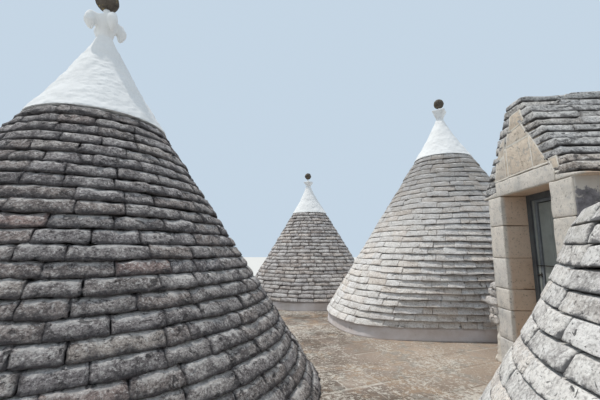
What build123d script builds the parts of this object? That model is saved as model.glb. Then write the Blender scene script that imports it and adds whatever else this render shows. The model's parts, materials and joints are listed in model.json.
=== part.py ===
from build123d import *
from dataclasses import dataclass
from math import acos, cos, pi, radians, sin
import os

# A trullo house: one whitewashed storey of thick masonry under a flat stone terrace. Four dry-stone
# cones stand on the terrace over the rooms, and a gabled stair head opens onto it.
# Millimetres. +Z is up, the origin is the middle of the footprint at ground level, and -Y is the front.

# House walls, floor and terrace
wall_thickness = 800
floor_thickness = 150
terrace_level = 3400
slab_thickness = 450
coping_width = 320
coping_height = 190
coping_overhang = 40
coping_joint = 6
coping_drip = 60
pier_side = 1000
pier_spots = [(0, -4700), (0, -900), (0, 2900)]

# Paving left free on the terrace: with the cones and the stair head it adds up to the house's size
left_walk = 449
right_walk = 479
front_walk = 1006
back_walk = 558
near_cone_side_walk = 897
left_cone_front_walk = 3246
middle_walk = 172
passage_width = 1064

# Openings of the ground storey
entrance_x = 0
entrance_width = 1000
entrance_height = 2200
entrance_depth = 420
window_width = 640
window_height = 820
window_sill_level = 1250
window_depth = 260
surround_width = 240
surround_proud = 25
lintel_height = 230
lintel_bearing = 100
sill_height = 90
sill_proud = 70

# Frames, leaves and panes
frame_side = 60
frame_depth = 70
stop_depth = 22
stop_side = 18
leaf_thickness = 42
leaf_gap = 4
leaf_stile = 95
panel_recess = 12
glazing_thickness = 8
latch_height = 1265
latch_length = 76
latch_radius = 10
latch_plate = 6

# What all cones share
band_setback = 40
shell_thickness = 750
crown_thickness = 420
dome_belly = 230
dome_rings = 5
dome_crown_radius = 60
course_sides = 18
course_batter = 22
course_overlap = 3
corner_sharpness = 8
cap_roundness = 1.3
cap_lip = 18
cap_hollow = 35
cap_rings = 5
cup_sides = 16
cup_rings = 4
cup_waist = 0.68
cup_rim = 30
pin_radius = 38
pin_sides = 10
ball_sides = 14
ball_rings = 8
ball_tip_angle = 7
lobe_radius = 70
lobe_sides = 8
lobe_rings = 6
joint_clearance = 5

# Stair head on the terrace
head_length = 3390
head_width = 1667
head_rear_walk = 100
head_over_near_foot = 406
head_wall = 340
head_jamb_depth = 500
head_door_height = 2335
head_door_depth = 350
head_lintel_height = 205
head_eaves_rise = 45
head_gable_rise = 1070
head_ridge_seat = 320
head_rear_wall = 300
head_gable_depth = 450
head_eaves_overhang = 95
head_plaster_setback = 18
head_roof_courses = 10
head_vault_rise = 700
head_threshold = 120
kneeler_reach = 110
ridge_stone_length = 520
ridge_stone_width = 330
ridge_stone_height = 75
ridge_stone_joint = 8

# The back cone stands against the right one: how far their axes are apart
back_cone_leftward = 3310
back_cone_backward = 2971


@dataclass
class Cone:
    """The sizes of one cone. Heights are above the terrace."""

    name: str
    base_radius: float
    cap_level: float
    cap_radius: float
    course_height: float
    neck_level: float
    neck_radius: float
    cup_level: float
    cup_radius: float  # to the four points
    cup_turn: float
    ball_level: float
    ball_radius: float
    band_height: float = 0  # a plastered ring under the lowest course
    lean: float = 0  # of the neck along X; what is above it leans on
    cup_flare: float = 1.2  # how late the four points spread
    lobe_length: float = 0  # drops that hang from the points
    flat_side: float = 0  # distance of a flattened front from the axis
    ledge_level: float = 0  # up to here the courses reach out, most of all the last
    ledge_reach: float = 0
    x: float = 0  # of the axis, worked out below
    y: float = 0


left_cone = Cone("left_cone", base_radius=2900, cap_level=3160, cap_radius=805, course_height=124,
                 neck_level=4460, neck_radius=82, cup_level=4770, cup_radius=215, cup_turn=56,
                 ball_level=5050, ball_radius=147, lean=-45, cup_flare=3, lobe_length=260)
back_cone = Cone("back_cone", base_radius=2080, cap_level=2760, cap_radius=550, course_height=98,
                 neck_level=3670, neck_radius=62, cup_level=3850, cup_radius=160, cup_turn=12,
                 ball_level=4035, ball_radius=105, band_height=220, lean=-35)
right_cone = Cone("right_cone", base_radius=2850, cap_level=3730, cap_radius=640, course_height=117,
                  neck_level=4750, neck_radius=75, cup_level=5010, cup_radius=195, cup_turn=12,
                  ball_level=5185, ball_radius=117, band_height=220, flat_side=1850)
near_cone = Cone("near_cone", base_radius=2455, cap_level=3400, cap_radius=560, course_height=139,
                 neck_level=4260, neck_radius=70, cup_level=4480, cup_radius=180, cup_turn=40,
                 ball_level=4660, ball_radius=115, band_height=220, ledge_level=1860, ledge_reach=130)
cones = [left_cone, back_cone, right_cone, near_cone]

# The house's outline, from what stands in a row across and along the terrace
cones_across = 2 * left_cone.base_radius + middle_walk + 2 * right_cone.base_radius
half_width = (left_walk + cones_across + right_walk) / 2
front_row = front_walk + 2 * near_cone.base_radius - head_over_near_foot + head_width
back_row = right_cone.flat_side + back_cone_backward + back_cone.base_radius + back_walk
half_length = (front_row + passage_width + back_row) / 2

# Where the cones and the stair head stand
left_cone.x = -half_width + left_walk + left_cone.base_radius
left_cone.y = -half_length + left_cone_front_walk + left_cone.base_radius
near_cone.x = half_width - near_cone_side_walk - near_cone.base_radius
near_cone.y = -half_length + front_walk + near_cone.base_radius
head_near = near_cone.y + near_cone.base_radius - head_over_near_foot
head_far = head_near + head_width
head_middle = (head_near + head_far) / 2
head_rear = half_width - coping_width - head_rear_walk
head_front = head_rear - head_length
right_cone.x = half_width - right_walk - right_cone.base_radius
right_cone.y = head_far + passage_width + right_cone.flat_side
back_cone.x = right_cone.x - back_cone_leftward
back_cone.y = right_cone.y + back_cone_backward

# Levels worked out from the sizes above
slab_underside = terrace_level - slab_thickness
head_eaves = head_door_height + head_eaves_rise
head_ridge = head_eaves + head_gable_rise


def block(low, high):
    """A box from its lowest to its highest corner."""
    size = [b - a for a, b in zip(low, high)]
    middle = [(a + b) / 2 for a, b in zip(low, high)]
    return Pos(*middle) * Box(*size)


def prism_x(points, x_from, x_to):
    """A prism along X over an outline of (y, z) points."""
    outline = Plane.YZ.offset(x_from) * make_face(Polyline(*points, close=True))
    return extrude(outline, x_to - x_from)


# Ground storey


@dataclass
class Opening:
    """A door or window in a wall. The wall's outer face is turned to -Y, then placed."""

    place: Location
    middle: float
    sill: float
    width: float
    height: float
    depth: float


def wall_places():
    """The frame of each wall: origin on its outer face at ground level, +Y into the house."""
    return {
        "front_wall": Location((0, -half_length, 0)),
        "right_wall": Location((half_width, 0, 0), (0, 0, 90)),
        "back_wall": Location((0, half_length, 0), (0, 0, 180)),
        "left_wall": Location((-half_width, 0, 0), (0, 0, -90)),
    }


def window_spots():
    """Along each wall, where its windows are: under the cones behind that wall."""
    return {
        "front_wall": [-half_width * 0.52, half_width * 0.52],
        "right_wall": [near_cone.y, right_cone.y],
        "back_wall": [-half_width * 0.48, half_width * 0.48],
        "left_wall": [-left_cone.y, -back_cone.y + wall_thickness],
    }


def windows():
    places = wall_places()
    return [
        Opening(places[wall], middle, window_sill_level, window_width, window_height, window_depth)
        for wall, spots in window_spots().items()
        for middle in spots
    ]


def entrance():
    place = wall_places()["front_wall"]
    return Opening(place, entrance_x, floor_thickness, entrance_width, entrance_height, entrance_depth)


def in_wall(opening, low, high):
    """A block in an opening's frame: X from its middle, Y into the wall, Z from its sill."""
    shifted_low = (low[0] + opening.middle, low[1], low[2] + opening.sill)
    shifted_high = (high[0] + opening.middle, high[1], high[2] + opening.sill)
    return opening.place * block(shifted_low, shifted_high)


def opening_cut(opening):
    half = opening.width / 2
    return in_wall(opening, (-half, -wall_thickness, 0), (half, 2 * wall_thickness, opening.height))


def threshold_cut(opening):
    half = opening.width / 2
    return in_wall(opening, (-half, -wall_thickness, -opening.sill), (half, 2 * wall_thickness, 0))


def jamb_blocks(opening, foot):
    """The two dressed jambs, let into the wall and a little proud of it."""
    half = opening.width / 2
    near = in_wall(opening, (-half - surround_width, -surround_proud, foot),
                   (-half, opening.depth, opening.height))
    far = in_wall(opening, (half, -surround_proud, foot),
                  (half + surround_width, opening.depth, opening.height))
    return [near, far]


def lintel_block(opening):
    half = opening.width / 2 + surround_width + lintel_bearing
    return in_wall(opening, (-half, -surround_proud, opening.height),
                   (half, opening.depth, opening.height + lintel_height))


def sill_block(opening):
    half = opening.width / 2 + surround_width
    return in_wall(opening, (-half, -sill_proud, -sill_height), (half, opening.depth, 0))


def ground_wall(name):
    """One outer wall. The side walls stand between the front and back walls."""
    place = wall_places()[name]
    along = half_width if name in ("front_wall", "back_wall") else half_length - wall_thickness
    wall = place * block((-along, 0, 0), (along, wall_thickness, slab_underside))
    openings = [o for o in windows() if o.place == place]
    for opening in openings:
        wall -= opening_cut(opening)
        for stone in [*jamb_blocks(opening, 0), lintel_block(opening), sill_block(opening)]:
            wall -= stone
    if name == "front_wall":
        door = entrance()
        wall -= opening_cut(door)
        wall -= threshold_cut(door)
        for stone in [*jamb_blocks(door, -door.sill), lintel_block(door)]:
            wall -= stone
    return wall


def floor_slab():
    inner_x = half_width - wall_thickness
    inner_y = half_length - wall_thickness
    slab = block((-inner_x, -inner_y, 0), (inner_x, inner_y, floor_thickness))
    door_half = entrance_width / 2
    step = block((entrance_x - door_half, -half_length + entrance_depth, 0),
                 (entrance_x + door_half, -inner_y, floor_thickness))
    return slab + step


def entrance_threshold():
    door_half = entrance_width / 2
    return block((entrance_x - door_half, -half_length - surround_proud, 0),
                 (entrance_x + door_half, -half_length + entrance_depth, floor_thickness))


def room_piers():
    half = pier_side / 2
    return [
        block((x - half, y - half, floor_thickness), (x + half, y + half, slab_underside))
        for x, y in pier_spots
    ]


def terrace_slab():
    slab = block((-half_width, -half_length, slab_underside), (half_width, half_length, terrace_level))
    for cone in cones:
        slab -= terrace_hole(cone)
    return slab


def terrace_coping():
    """Four lengths of coping along the edges, with a bevelled drip under their outer edge."""
    lengths = []
    for name, place in wall_places().items():
        long_side = name in ("right_wall", "left_wall")
        along = half_length if long_side else half_width
        reach = along - coping_width - coping_joint if long_side else along + coping_overhang
        outline = [
            (-coping_overhang, terrace_level + coping_drip),
            (0, terrace_level),
            (coping_width, terrace_level),
            (coping_width, terrace_level + coping_height),
            (-coping_overhang, terrace_level + coping_height),
        ]
        lengths.append(place * prism_x(outline, -reach, reach))
    return lengths


# Frames and leaves


def frame_portal(opening, foot):
    """A door or window frame with a stop that the leaf or pane closes against."""
    half = opening.width / 2
    top = opening.height
    front = opening.depth
    whole = in_wall(opening, (-half, front, foot), (half, front + frame_depth, top))
    inner = half - frame_side
    throat = in_wall(opening, (-inner + stop_side, front - 1, foot + frame_side * (foot > 0)),
                     (inner - stop_side, front + frame_depth + 1, top - frame_side - stop_side))
    rebate = in_wall(opening, (-inner, front + stop_depth, foot),
                     (inner, front + frame_depth + 1, top - frame_side))
    return whole - throat - rebate


def door_leaf(opening, foot):
    """A leaf with two recessed panels on each face, closed against the frame's stop."""
    half = opening.width / 2 - frame_side - leaf_gap
    top = opening.height - frame_side - leaf_gap
    front = opening.depth + stop_depth
    back = front + leaf_thickness
    bottom = foot + leaf_gap
    leaf = in_wall(opening, (-half, front, bottom), (half, back, top))
    below_rail = (bottom + leaf_stile, latch_height - leaf_stile / 2)
    above_rail = (latch_height + leaf_stile / 2, top - leaf_stile)
    for low, high in (below_rail, above_rail):
        for face in [(front - 1, front + panel_recess), (back - panel_recess, back + 1)]:
            leaf -= in_wall(opening, (-half + leaf_stile, face[0], low), (half - leaf_stile, face[1], high))
    return leaf


def door_latch(opening, side):
    """A bolt on a plate, on the closing stile at hand height, on the leaf's outer face."""
    leaf_edge = opening.width / 2 - frame_side - leaf_gap
    face = opening.depth + stop_depth
    middle = side * (leaf_edge - leaf_stile * 0.6)
    half_plate = leaf_stile * 0.3
    plate = in_wall(opening, (middle - half_plate, face - latch_plate, latch_height - half_plate),
                    (middle + half_plate, face, latch_height + half_plate))
    bolt_y = face - latch_plate - latch_radius * 0.8
    spot = Pos(opening.middle + middle, bolt_y, opening.sill + latch_height) * Rot(0, 90, 0)
    bolt = opening.place * (spot * Cylinder(latch_radius, latch_length))
    return plate + bolt


def window_frame(opening):
    half = opening.width / 2
    front = opening.depth
    whole = in_wall(opening, (-half, front, 0), (half, front + frame_depth, opening.height))
    light = in_wall(opening, (-half + frame_side, front - 1, frame_side),
                    (half - frame_side, front + frame_depth + 1, opening.height - frame_side))
    return whole - light


def window_pane(opening):
    half = opening.width / 2 - frame_side
    middle = opening.depth + frame_depth / 2
    return in_wall(opening, (-half, middle - glazing_thickness / 2, frame_side),
                   (half, middle + glazing_thickness / 2, opening.height - frame_side))


# Cones


def on_terrace(cone, shape):
    return Pos(cone.x, cone.y, terrace_level) * shape


def ring(radius, level, sides, roundness=cap_roundness):
    """The corners of one ring of an outline. Its -Y side is flattened where roundness is low."""
    corners = []
    for side in range(sides):
        angle = radians(360 / sides * (side + 0.5))
        reach = radius
        if roundness < cap_roundness and sin(angle) < 0:
            flat = radius * roundness / -sin(angle)
            reach = (radius**-corner_sharpness + flat**-corner_sharpness) ** (-1 / corner_sharpness)
        corners.append(Vector(reach * cos(angle), reach * sin(angle), level))
    return corners


def ringed(rings, twisted=False):
    """The solid through a stack of rings, closed by the first and the last."""
    faces = [flat_face(rings[0]), flat_face(rings[-1])]
    for lower, upper in zip(rings, rings[1:]):
        for side in range(len(lower)):
            previous = side - 1
            if twisted:
                faces.append(flat_face([lower[previous], lower[side], upper[side]]))
                faces.append(flat_face([lower[previous], upper[side], upper[previous]]))
            else:
                faces.append(flat_face([lower[previous], lower[side], upper[side], upper[previous]]))
    return Solid(Shell(faces))


def flat_face(corners):
    return Face(Wire.make_polygon(corners, close=True))


def course_count(cone):
    return round((cone.cap_level - cone.band_height) / cone.course_height)


def course_radius(cone, share):
    """The cone's outline: its radius at a share of the height from foot to cap."""
    radius = cone.base_radius - (cone.base_radius - cone.cap_radius) * share
    if cone.ledge_level:
        level = cone.band_height + (cone.cap_level - cone.band_height) * share
        if level < cone.ledge_level:
            radius += cone.ledge_reach * (level / cone.ledge_level) ** 4
    return radius


def course_roundness(cone, share):
    """How round the plan is: a cone with a flattened front gets round towards its cap."""
    if not cone.flat_side:
        return cap_roundness
    at_foot = cone.flat_side / cone.base_radius
    return at_foot + (cap_roundness - at_foot) * share


def outer_rings(cone, batter, grown=0):
    """Two rings a course, the upper one battered in."""
    foot = cone.band_height
    count = course_count(cone)
    height = (cone.cap_level - foot) / count
    rings = []
    for course in range(count):
        radius = course_radius(cone, course / count) + grown
        above = course_radius(cone, (course + 1) / count) + grown
        roundness = course_roundness(cone, course / count)
        top_radius = max(radius - batter, min(above, radius) + course_overlap)
        rings.append(ring(radius, foot + course * height, course_sides, roundness))
        rings.append(ring(top_radius, foot + (course + 1) * height, course_sides, roundness))
    return rings


def inner_rings(cone, low, high):
    """The dome's rings between two levels, lowest first."""
    rings = []
    for step in range(dome_rings + 1):
        level = low + (high - low) * step / dome_rings
        share = level / dome_apex(cone)
        rings.append(ring(inner_radius(cone, share), level, course_sides, inner_roundness(cone)))
    return rings


def dome_apex(cone):
    return cone.cap_level - crown_thickness


def inner_radius(cone, share):
    """The dome's radius at a share of its height: a straight cone swollen by the belly."""
    room = cone.base_radius - shell_thickness
    return room + (dome_crown_radius - room) * share + 4 * dome_belly * share * (1 - share)


def inner_roundness(cone):
    room = cone.base_radius - shell_thickness
    return (cone.flat_side - shell_thickness) / room if cone.flat_side else cap_roundness


def cone_courses(cone):
    """The corbelled shell: from the dome's crown down the inside, then up the stepped outside."""
    inside = inner_rings(cone, cone.band_height, dome_apex(cone))
    return on_terrace(cone, ringed(inside[::-1] + outer_rings(cone, course_batter)))


def cone_band(cone):
    """The plastered ring that the lowest course oversails."""
    outer = cone.base_radius - band_setback
    roundness = course_roundness(cone, 0)
    outside = [ring(outer, level, course_sides, roundness) for level in (0, cone.band_height)]
    inside = [inner_rings(cone, 0, cone.band_height)[step] for step in (0, -1)]
    return on_terrace(cone, ringed(outside) - ringed(inside))


def terrace_hole(cone):
    """The space under a dome, through the slab."""
    hole = [inner_rings(cone, 0, 1)[0]]
    return on_terrace(cone, ringed([lowered(hole[0], slab_thickness), hole[0]]))


def lowered(corners, depth):
    return [Vector(c.X, c.Y, c.Z - depth) for c in corners]


def bent(start, end, swell, steps):
    """Points from start to end, both (radius, level), bowed out by swell at the middle."""
    points = []
    for step in range(steps + 1):
        share = step / steps
        radius = start[0] + (end[0] - start[0]) * share + 4 * swell * share * (1 - share)
        points.append((radius, start[1] + (end[1] - start[1]) * share))
    return points


def leaning(cone, rings):
    """Rings of the tip, each moved by the lean at its level."""
    slant = cone.lean / (cone.neck_level - cone.cap_level)
    return [[Vector(c.X + slant * (c.Z - cone.cap_level), c.Y, c.Z) for c in corners] for corners in rings]


def cone_cap(cone):
    """The whitewashed tip: a hollow-sided cone, a four-pointed cup and the pin under the ball."""
    foot = (cone.cap_radius + cap_lip, cone.cap_level)
    neck = (cone.neck_radius, cone.neck_level)
    outline = bent(foot, neck, -cap_hollow, cap_rings)
    cap = ringed(leaning(cone, [ring(radius, level, course_sides) for radius, level in outline]))
    cap += ringed(leaning(cone, cup_sections(cone)), twisted=True)
    pin = [ring(pin_radius, level, pin_sides) for level in (cone.cup_level, ball_seat(cone))]
    cap += ringed(leaning(cone, pin))
    for drop in hanging_lobes(cone):
        cap += drop
    return on_terrace(cone, cap)


def cup_sections(cone):
    """Sections of the cup, from the round neck to a rim with four points."""
    rim = cone.cup_level - cup_rim
    levels = [cone.neck_level + (rim - cone.neck_level) * step / cup_rings for step in range(cup_rings + 1)]
    return [cup_ring(cone, level) for level in levels + [cone.cup_level]]


def cup_ring(cone, level):
    share = min(1, (level - cone.neck_level) / (cone.cup_level - cup_rim - cone.neck_level))
    waist = cone.neck_radius + (cone.cup_radius * cup_waist - cone.neck_radius) * share
    reach = cone.cup_radius * (1 - cup_waist) * share**cone.cup_flare
    corners = []
    for side in range(cup_sides):
        along = radians(360 / cup_sides * side)
        radius = waist + reach * ((1 + cos(4 * along)) / 2) ** 1.5
        angle = along + radians(cone.cup_turn)
        corners.append(Vector(radius * cos(angle), radius * sin(angle), level))
    return corners


def hanging_lobes(cone):
    """A pear-shaped drop under each point of the cup."""
    drops = []
    for point in range(4 if cone.lobe_length else 0):
        angle = radians(cone.cup_turn + 90 * point)
        rings = []
        for step in range(lobe_rings + 1):
            share = step / lobe_rings
            radius = lobe_radius * sin(pi * (0.95 - 0.77 * share)) ** 0.8
            rings.append(ring(radius, cone.cup_level - cone.lobe_length * (1 - share), lobe_sides))
        reach = cone.cup_radius - lobe_radius * 0.4
        drops.append(Pos(reach * cos(angle), reach * sin(angle), 0) * ringed(leaning(cone, rings)))
    return drops


def ball_seat(cone):
    """The level of the flat under the ball, as wide as its pin."""
    return cone.ball_level - (cone.ball_radius**2 - pin_radius**2) ** 0.5


def cone_ball(cone):
    lowest = -acos(pin_radius / cone.ball_radius)
    highest = radians(90 - ball_tip_angle)
    rings = []
    for step in range(ball_rings + 1):
        angle = lowest + (highest - lowest) * step / ball_rings
        level = cone.ball_level + cone.ball_radius * sin(angle)
        rings.append(ring(cone.ball_radius * cos(angle), level, ball_sides))
    return on_terrace(cone, ringed(leaning(cone, rings)))


def next_to_stair_head(shape):
    """Cuts a cone's foot where the stair head stands against it."""
    return shape - head_footprint()


def next_to_cone(shape, cone):
    """Cuts another cone's foot where this cone runs into it."""
    step = (cone.base_radius - cone.cap_radius) / course_count(cone)
    solid = outer_rings(cone, 0, grown=step + joint_clearance)
    return shape - on_terrace(cone, ringed([lowered(solid[0], cone.band_height), *solid]))


# Stair head


def head_opening():
    """The doorway in the stair head's front, in the frame that door parts use."""
    place = Location((head_front, head_middle, terrace_level), (0, 0, -90))
    width = head_far - head_near - 2 * head_wall
    return Opening(place, 0, 0, width, head_door_height, head_door_depth)


def head_footprint():
    return block((head_front, head_near, terrace_level),
                 (head_rear, head_far, terrace_level + head_ridge))


def head_block(low, high):
    """A block whose heights are above the terrace."""
    return block((low[0], low[1], low[2] + terrace_level), (high[0], high[1], high[2] + terrace_level))


def head_jambs():
    back = head_front + head_jamb_depth
    return [
        head_block((head_front, head_near, 0), (back, head_near + head_wall, head_door_height)),
        head_block((head_front, head_far - head_wall, 0), (back, head_far, head_door_height)),
    ]


def head_lintel():
    near_end = head_near + head_wall - lintel_bearing
    far_end = head_far - head_wall + lintel_bearing
    return head_block((head_front, near_end, head_door_height),
                      (head_front + head_jamb_depth, far_end, head_door_height + head_lintel_height))


def head_kneelers():
    """The two pointed stones at the feet of the gable, out past the jambs under the eaves."""
    back = head_front + head_jamb_depth
    low = terrace_level + head_door_height
    high = terrace_level + head_eaves
    stones = []
    for side, face in ((-1, head_near), (1, head_far)):
        inner = face - side * (head_wall - lintel_bearing)
        tip = face + side * kneeler_reach
        outline = [(inner, low), (tip, low), (tip, low + (high - low) * 0.35), (face, high), (inner, high)]
        stones.append(prism_x(outline, head_front, back))
    return stones


def head_side_walls():
    start = head_front + head_jamb_depth
    end = head_rear - head_rear_wall
    return [
        head_block((start, head_near + head_plaster_setback, 0), (end, head_near + head_wall, head_eaves)),
        head_block((start, head_far - head_wall, 0), (end, head_far - head_plaster_setback, head_eaves)),
    ]


def vault_line():
    """The underside of the roof, from the near wall over the apex to the far wall."""
    low = terrace_level + head_eaves
    return [
        (head_near + head_wall, low),
        (head_middle, low + head_vault_rise),
        (head_far - head_wall, low),
    ]


def head_roof(side):
    """One slope: courses of slabs, each set back from the one below, over the vault."""
    eaves_y = head_near - head_eaves_overhang
    low = terrace_level + head_eaves
    run = (head_middle - head_ridge_seat / 2 - eaves_y) / head_roof_courses
    rise = (head_ridge - head_eaves) / head_roof_courses
    steps = []
    for course in range(head_roof_courses):
        start = eaves_y + course * run
        steps.append((start, low + course * rise))
        steps.append((start + course_batter, low + (course + 1) * rise))
    inner, apex = vault_line()[:2]
    top = (head_middle, low + head_roof_courses * rise)
    slope = prism_x([*steps, top, apex, inner], head_front, head_rear)
    if side > 0:
        slope = mirror(slope, Plane.XZ.offset(-head_middle))
    return slope - head_lintel()


def ridge_stones():
    """Cap stones along the ridge, with open joints between them."""
    spacing = ridge_stone_length + ridge_stone_joint
    count = int(head_length // spacing)
    length = (head_length - (count - 1) * ridge_stone_joint) / count
    low = terrace_level + head_ridge
    half = ridge_stone_width / 2
    outline = [
        (head_middle - half, low),
        (head_middle + half, low),
        (head_middle + half * 0.8, low + ridge_stone_height),
        (head_middle - half * 0.8, low + ridge_stone_height),
    ]
    starts = [head_front + i * (length + ridge_stone_joint) for i in range(count)]
    return [prism_x(outline, start, start + length) for start in starts]


def head_gable():
    """The ashlar infill over the lintel, between the two slopes."""
    near, apex, far = vault_line()
    triangle = prism_x([near, apex, far], head_front, head_front + head_gable_depth)
    return triangle - head_lintel()


def head_rear_gable():
    near, apex, far = vault_line()
    near_side = [(head_near, terrace_level), (head_near, near[1]), near]
    far_side = [far, (head_far, far[1]), (head_far, terrace_level)]
    return prism_x([*near_side, apex, *far_side], head_rear - head_rear_wall, head_rear)


def head_threshold_stone():
    opening = head_opening()
    half = opening.width / 2
    return in_wall(opening, (-half, 0, 0), (half, head_jamb_depth, head_threshold))


def build_parts():
    parts = {name: ground_wall(name) for name in wall_places()}
    parts["floor_slab"] = floor_slab()
    parts["terrace_slab"] = terrace_slab()
    parts["terrace_coping"] = terrace_coping()
    parts["room_piers"] = room_piers()

    door = entrance()
    parts["entrance_jambs"] = jamb_blocks(door, -door.sill)
    parts["entrance_lintel"] = lintel_block(door)
    parts["entrance_threshold"] = entrance_threshold()
    parts["entrance_frame"] = frame_portal(door, 0)
    parts["entrance_leaf"] = door_leaf(door, 0)
    parts["entrance_latch"] = door_latch(door, 1)

    parts["window_jambs"] = [stone for w in windows() for stone in jamb_blocks(w, 0)]
    parts["window_lintels"] = [lintel_block(w) for w in windows()]
    parts["window_sills"] = [sill_block(w) for w in windows()]
    parts["window_frames"] = [window_frame(w) for w in windows()]
    parts["window_panes"] = [window_pane(w) for w in windows()]

    trims = {
        "near_cone": next_to_stair_head,
        "back_cone": lambda shape: next_to_cone(shape, right_cone),
    }
    for cone in cones:
        trim = trims.get(cone.name, lambda shape: shape)
        parts[cone.name + "_courses"] = trim(cone_courses(cone))
        if cone.band_height:
            parts[cone.name + "_band"] = trim(cone_band(cone))
        parts[cone.name + "_cap"] = cone_cap(cone)
        parts[cone.name + "_ball"] = cone_ball(cone)

    way_out = head_opening()
    parts["stair_head_jambs"] = head_jambs()
    parts["stair_head_lintel"] = head_lintel()
    parts["stair_head_kneelers"] = head_kneelers()
    parts["stair_head_side_walls"] = head_side_walls()
    parts["stair_head_gable"] = head_gable()
    parts["stair_head_rear_gable"] = head_rear_gable()
    parts["stair_head_near_roof"] = head_roof(-1)
    parts["stair_head_far_roof"] = head_roof(1)
    parts["stair_head_ridge"] = ridge_stones()
    parts["stair_head_threshold"] = head_threshold_stone()
    parts["terrace_door_frame"] = frame_portal(way_out, head_threshold)
    parts["terrace_door_leaf"] = door_leaf(way_out, head_threshold)
    parts["terrace_door_latch"] = door_latch(way_out, -1)
    return parts


def write(parts):
    os.makedirs("parts", exist_ok=True)
    for name, shape in parts.items():
        solids = shape if isinstance(shape, list) else [shape]
        whole = Compound(children=[s for shape in solids for s in shape.solids()])
        export_step(whole, f"parts/{name}.step")


if __name__ == "__main__":
    write(build_parts())
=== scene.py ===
import json
import math

import bmesh
import bpy
from mathutils import Matrix, Vector, noise


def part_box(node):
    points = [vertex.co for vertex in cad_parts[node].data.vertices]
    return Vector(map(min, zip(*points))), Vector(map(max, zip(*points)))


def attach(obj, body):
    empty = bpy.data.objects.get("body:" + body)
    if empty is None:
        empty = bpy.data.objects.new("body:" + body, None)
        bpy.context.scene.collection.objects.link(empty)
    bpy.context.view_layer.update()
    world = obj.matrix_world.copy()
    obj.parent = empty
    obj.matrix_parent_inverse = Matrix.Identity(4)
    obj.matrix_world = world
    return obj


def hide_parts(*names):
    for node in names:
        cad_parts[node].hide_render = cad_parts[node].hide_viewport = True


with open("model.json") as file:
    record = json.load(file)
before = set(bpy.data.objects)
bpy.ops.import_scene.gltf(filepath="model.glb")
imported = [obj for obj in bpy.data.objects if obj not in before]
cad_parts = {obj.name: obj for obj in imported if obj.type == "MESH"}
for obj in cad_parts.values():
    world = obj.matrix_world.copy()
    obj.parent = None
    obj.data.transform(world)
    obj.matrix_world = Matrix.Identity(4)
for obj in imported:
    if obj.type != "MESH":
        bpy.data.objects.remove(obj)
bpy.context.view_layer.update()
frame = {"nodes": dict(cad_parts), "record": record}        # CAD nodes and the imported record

# Camera, light and floor

studio = {
    "eye": (-0.085, -5.75, 5.0),        # metres; the photographer stands on the terrace
    "pitch": 98.45,
    "turn": 3.0,
    "lens": 19.8,
    "sensor": 36,
    "sunFrom": (-0.34, 0.07, 0.92),
    "sunStrength": 2.35,
    "sunColour": (1.0, 0.95, 0.88),
    "sunSoftness": 1.6,                 # degrees
    "skyColour": (0.78, 0.89, 1.0),
    "skyStrength": 0.73,
    "backdrop": (0.56, 0.67, 0.78),
    "floorColour": (0.66, 0.65, 0.62),
    "floorSize": 400.0,
    "floorDrop": 0.002,                 # keeps the floor clear of the foot of the walls
}


class Signal:
    # a socket that adds and multiplies like a number

    def __init__(self, graph, socket):
        self.graph = graph
        self.socket = socket

    def via(self, operation, *others):
        return self.graph.calc(operation, self, *others)

    def __abs__(self):
        return self.via("ABSOLUTE")

    def __neg__(self):
        return self * -1


def arithmetic(operation):
    # an operator and its mirror, for a number on the left
    return (lambda self, other: self.graph.calc(operation, self, other),
            lambda self, other: self.graph.calc(operation, other, self))


operations = {
    "add": "ADD", "sub": "SUBTRACT", "mul": "MULTIPLY", "truediv": "DIVIDE", "pow": "POWER",
    "mod": "FLOORED_MODULO",
}
for name, operation in operations.items():
    forward, mirrored = arithmetic(operation)
    setattr(Signal, f"__{name}__", forward)
    setattr(Signal, f"__r{name}__", mirrored)


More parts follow.
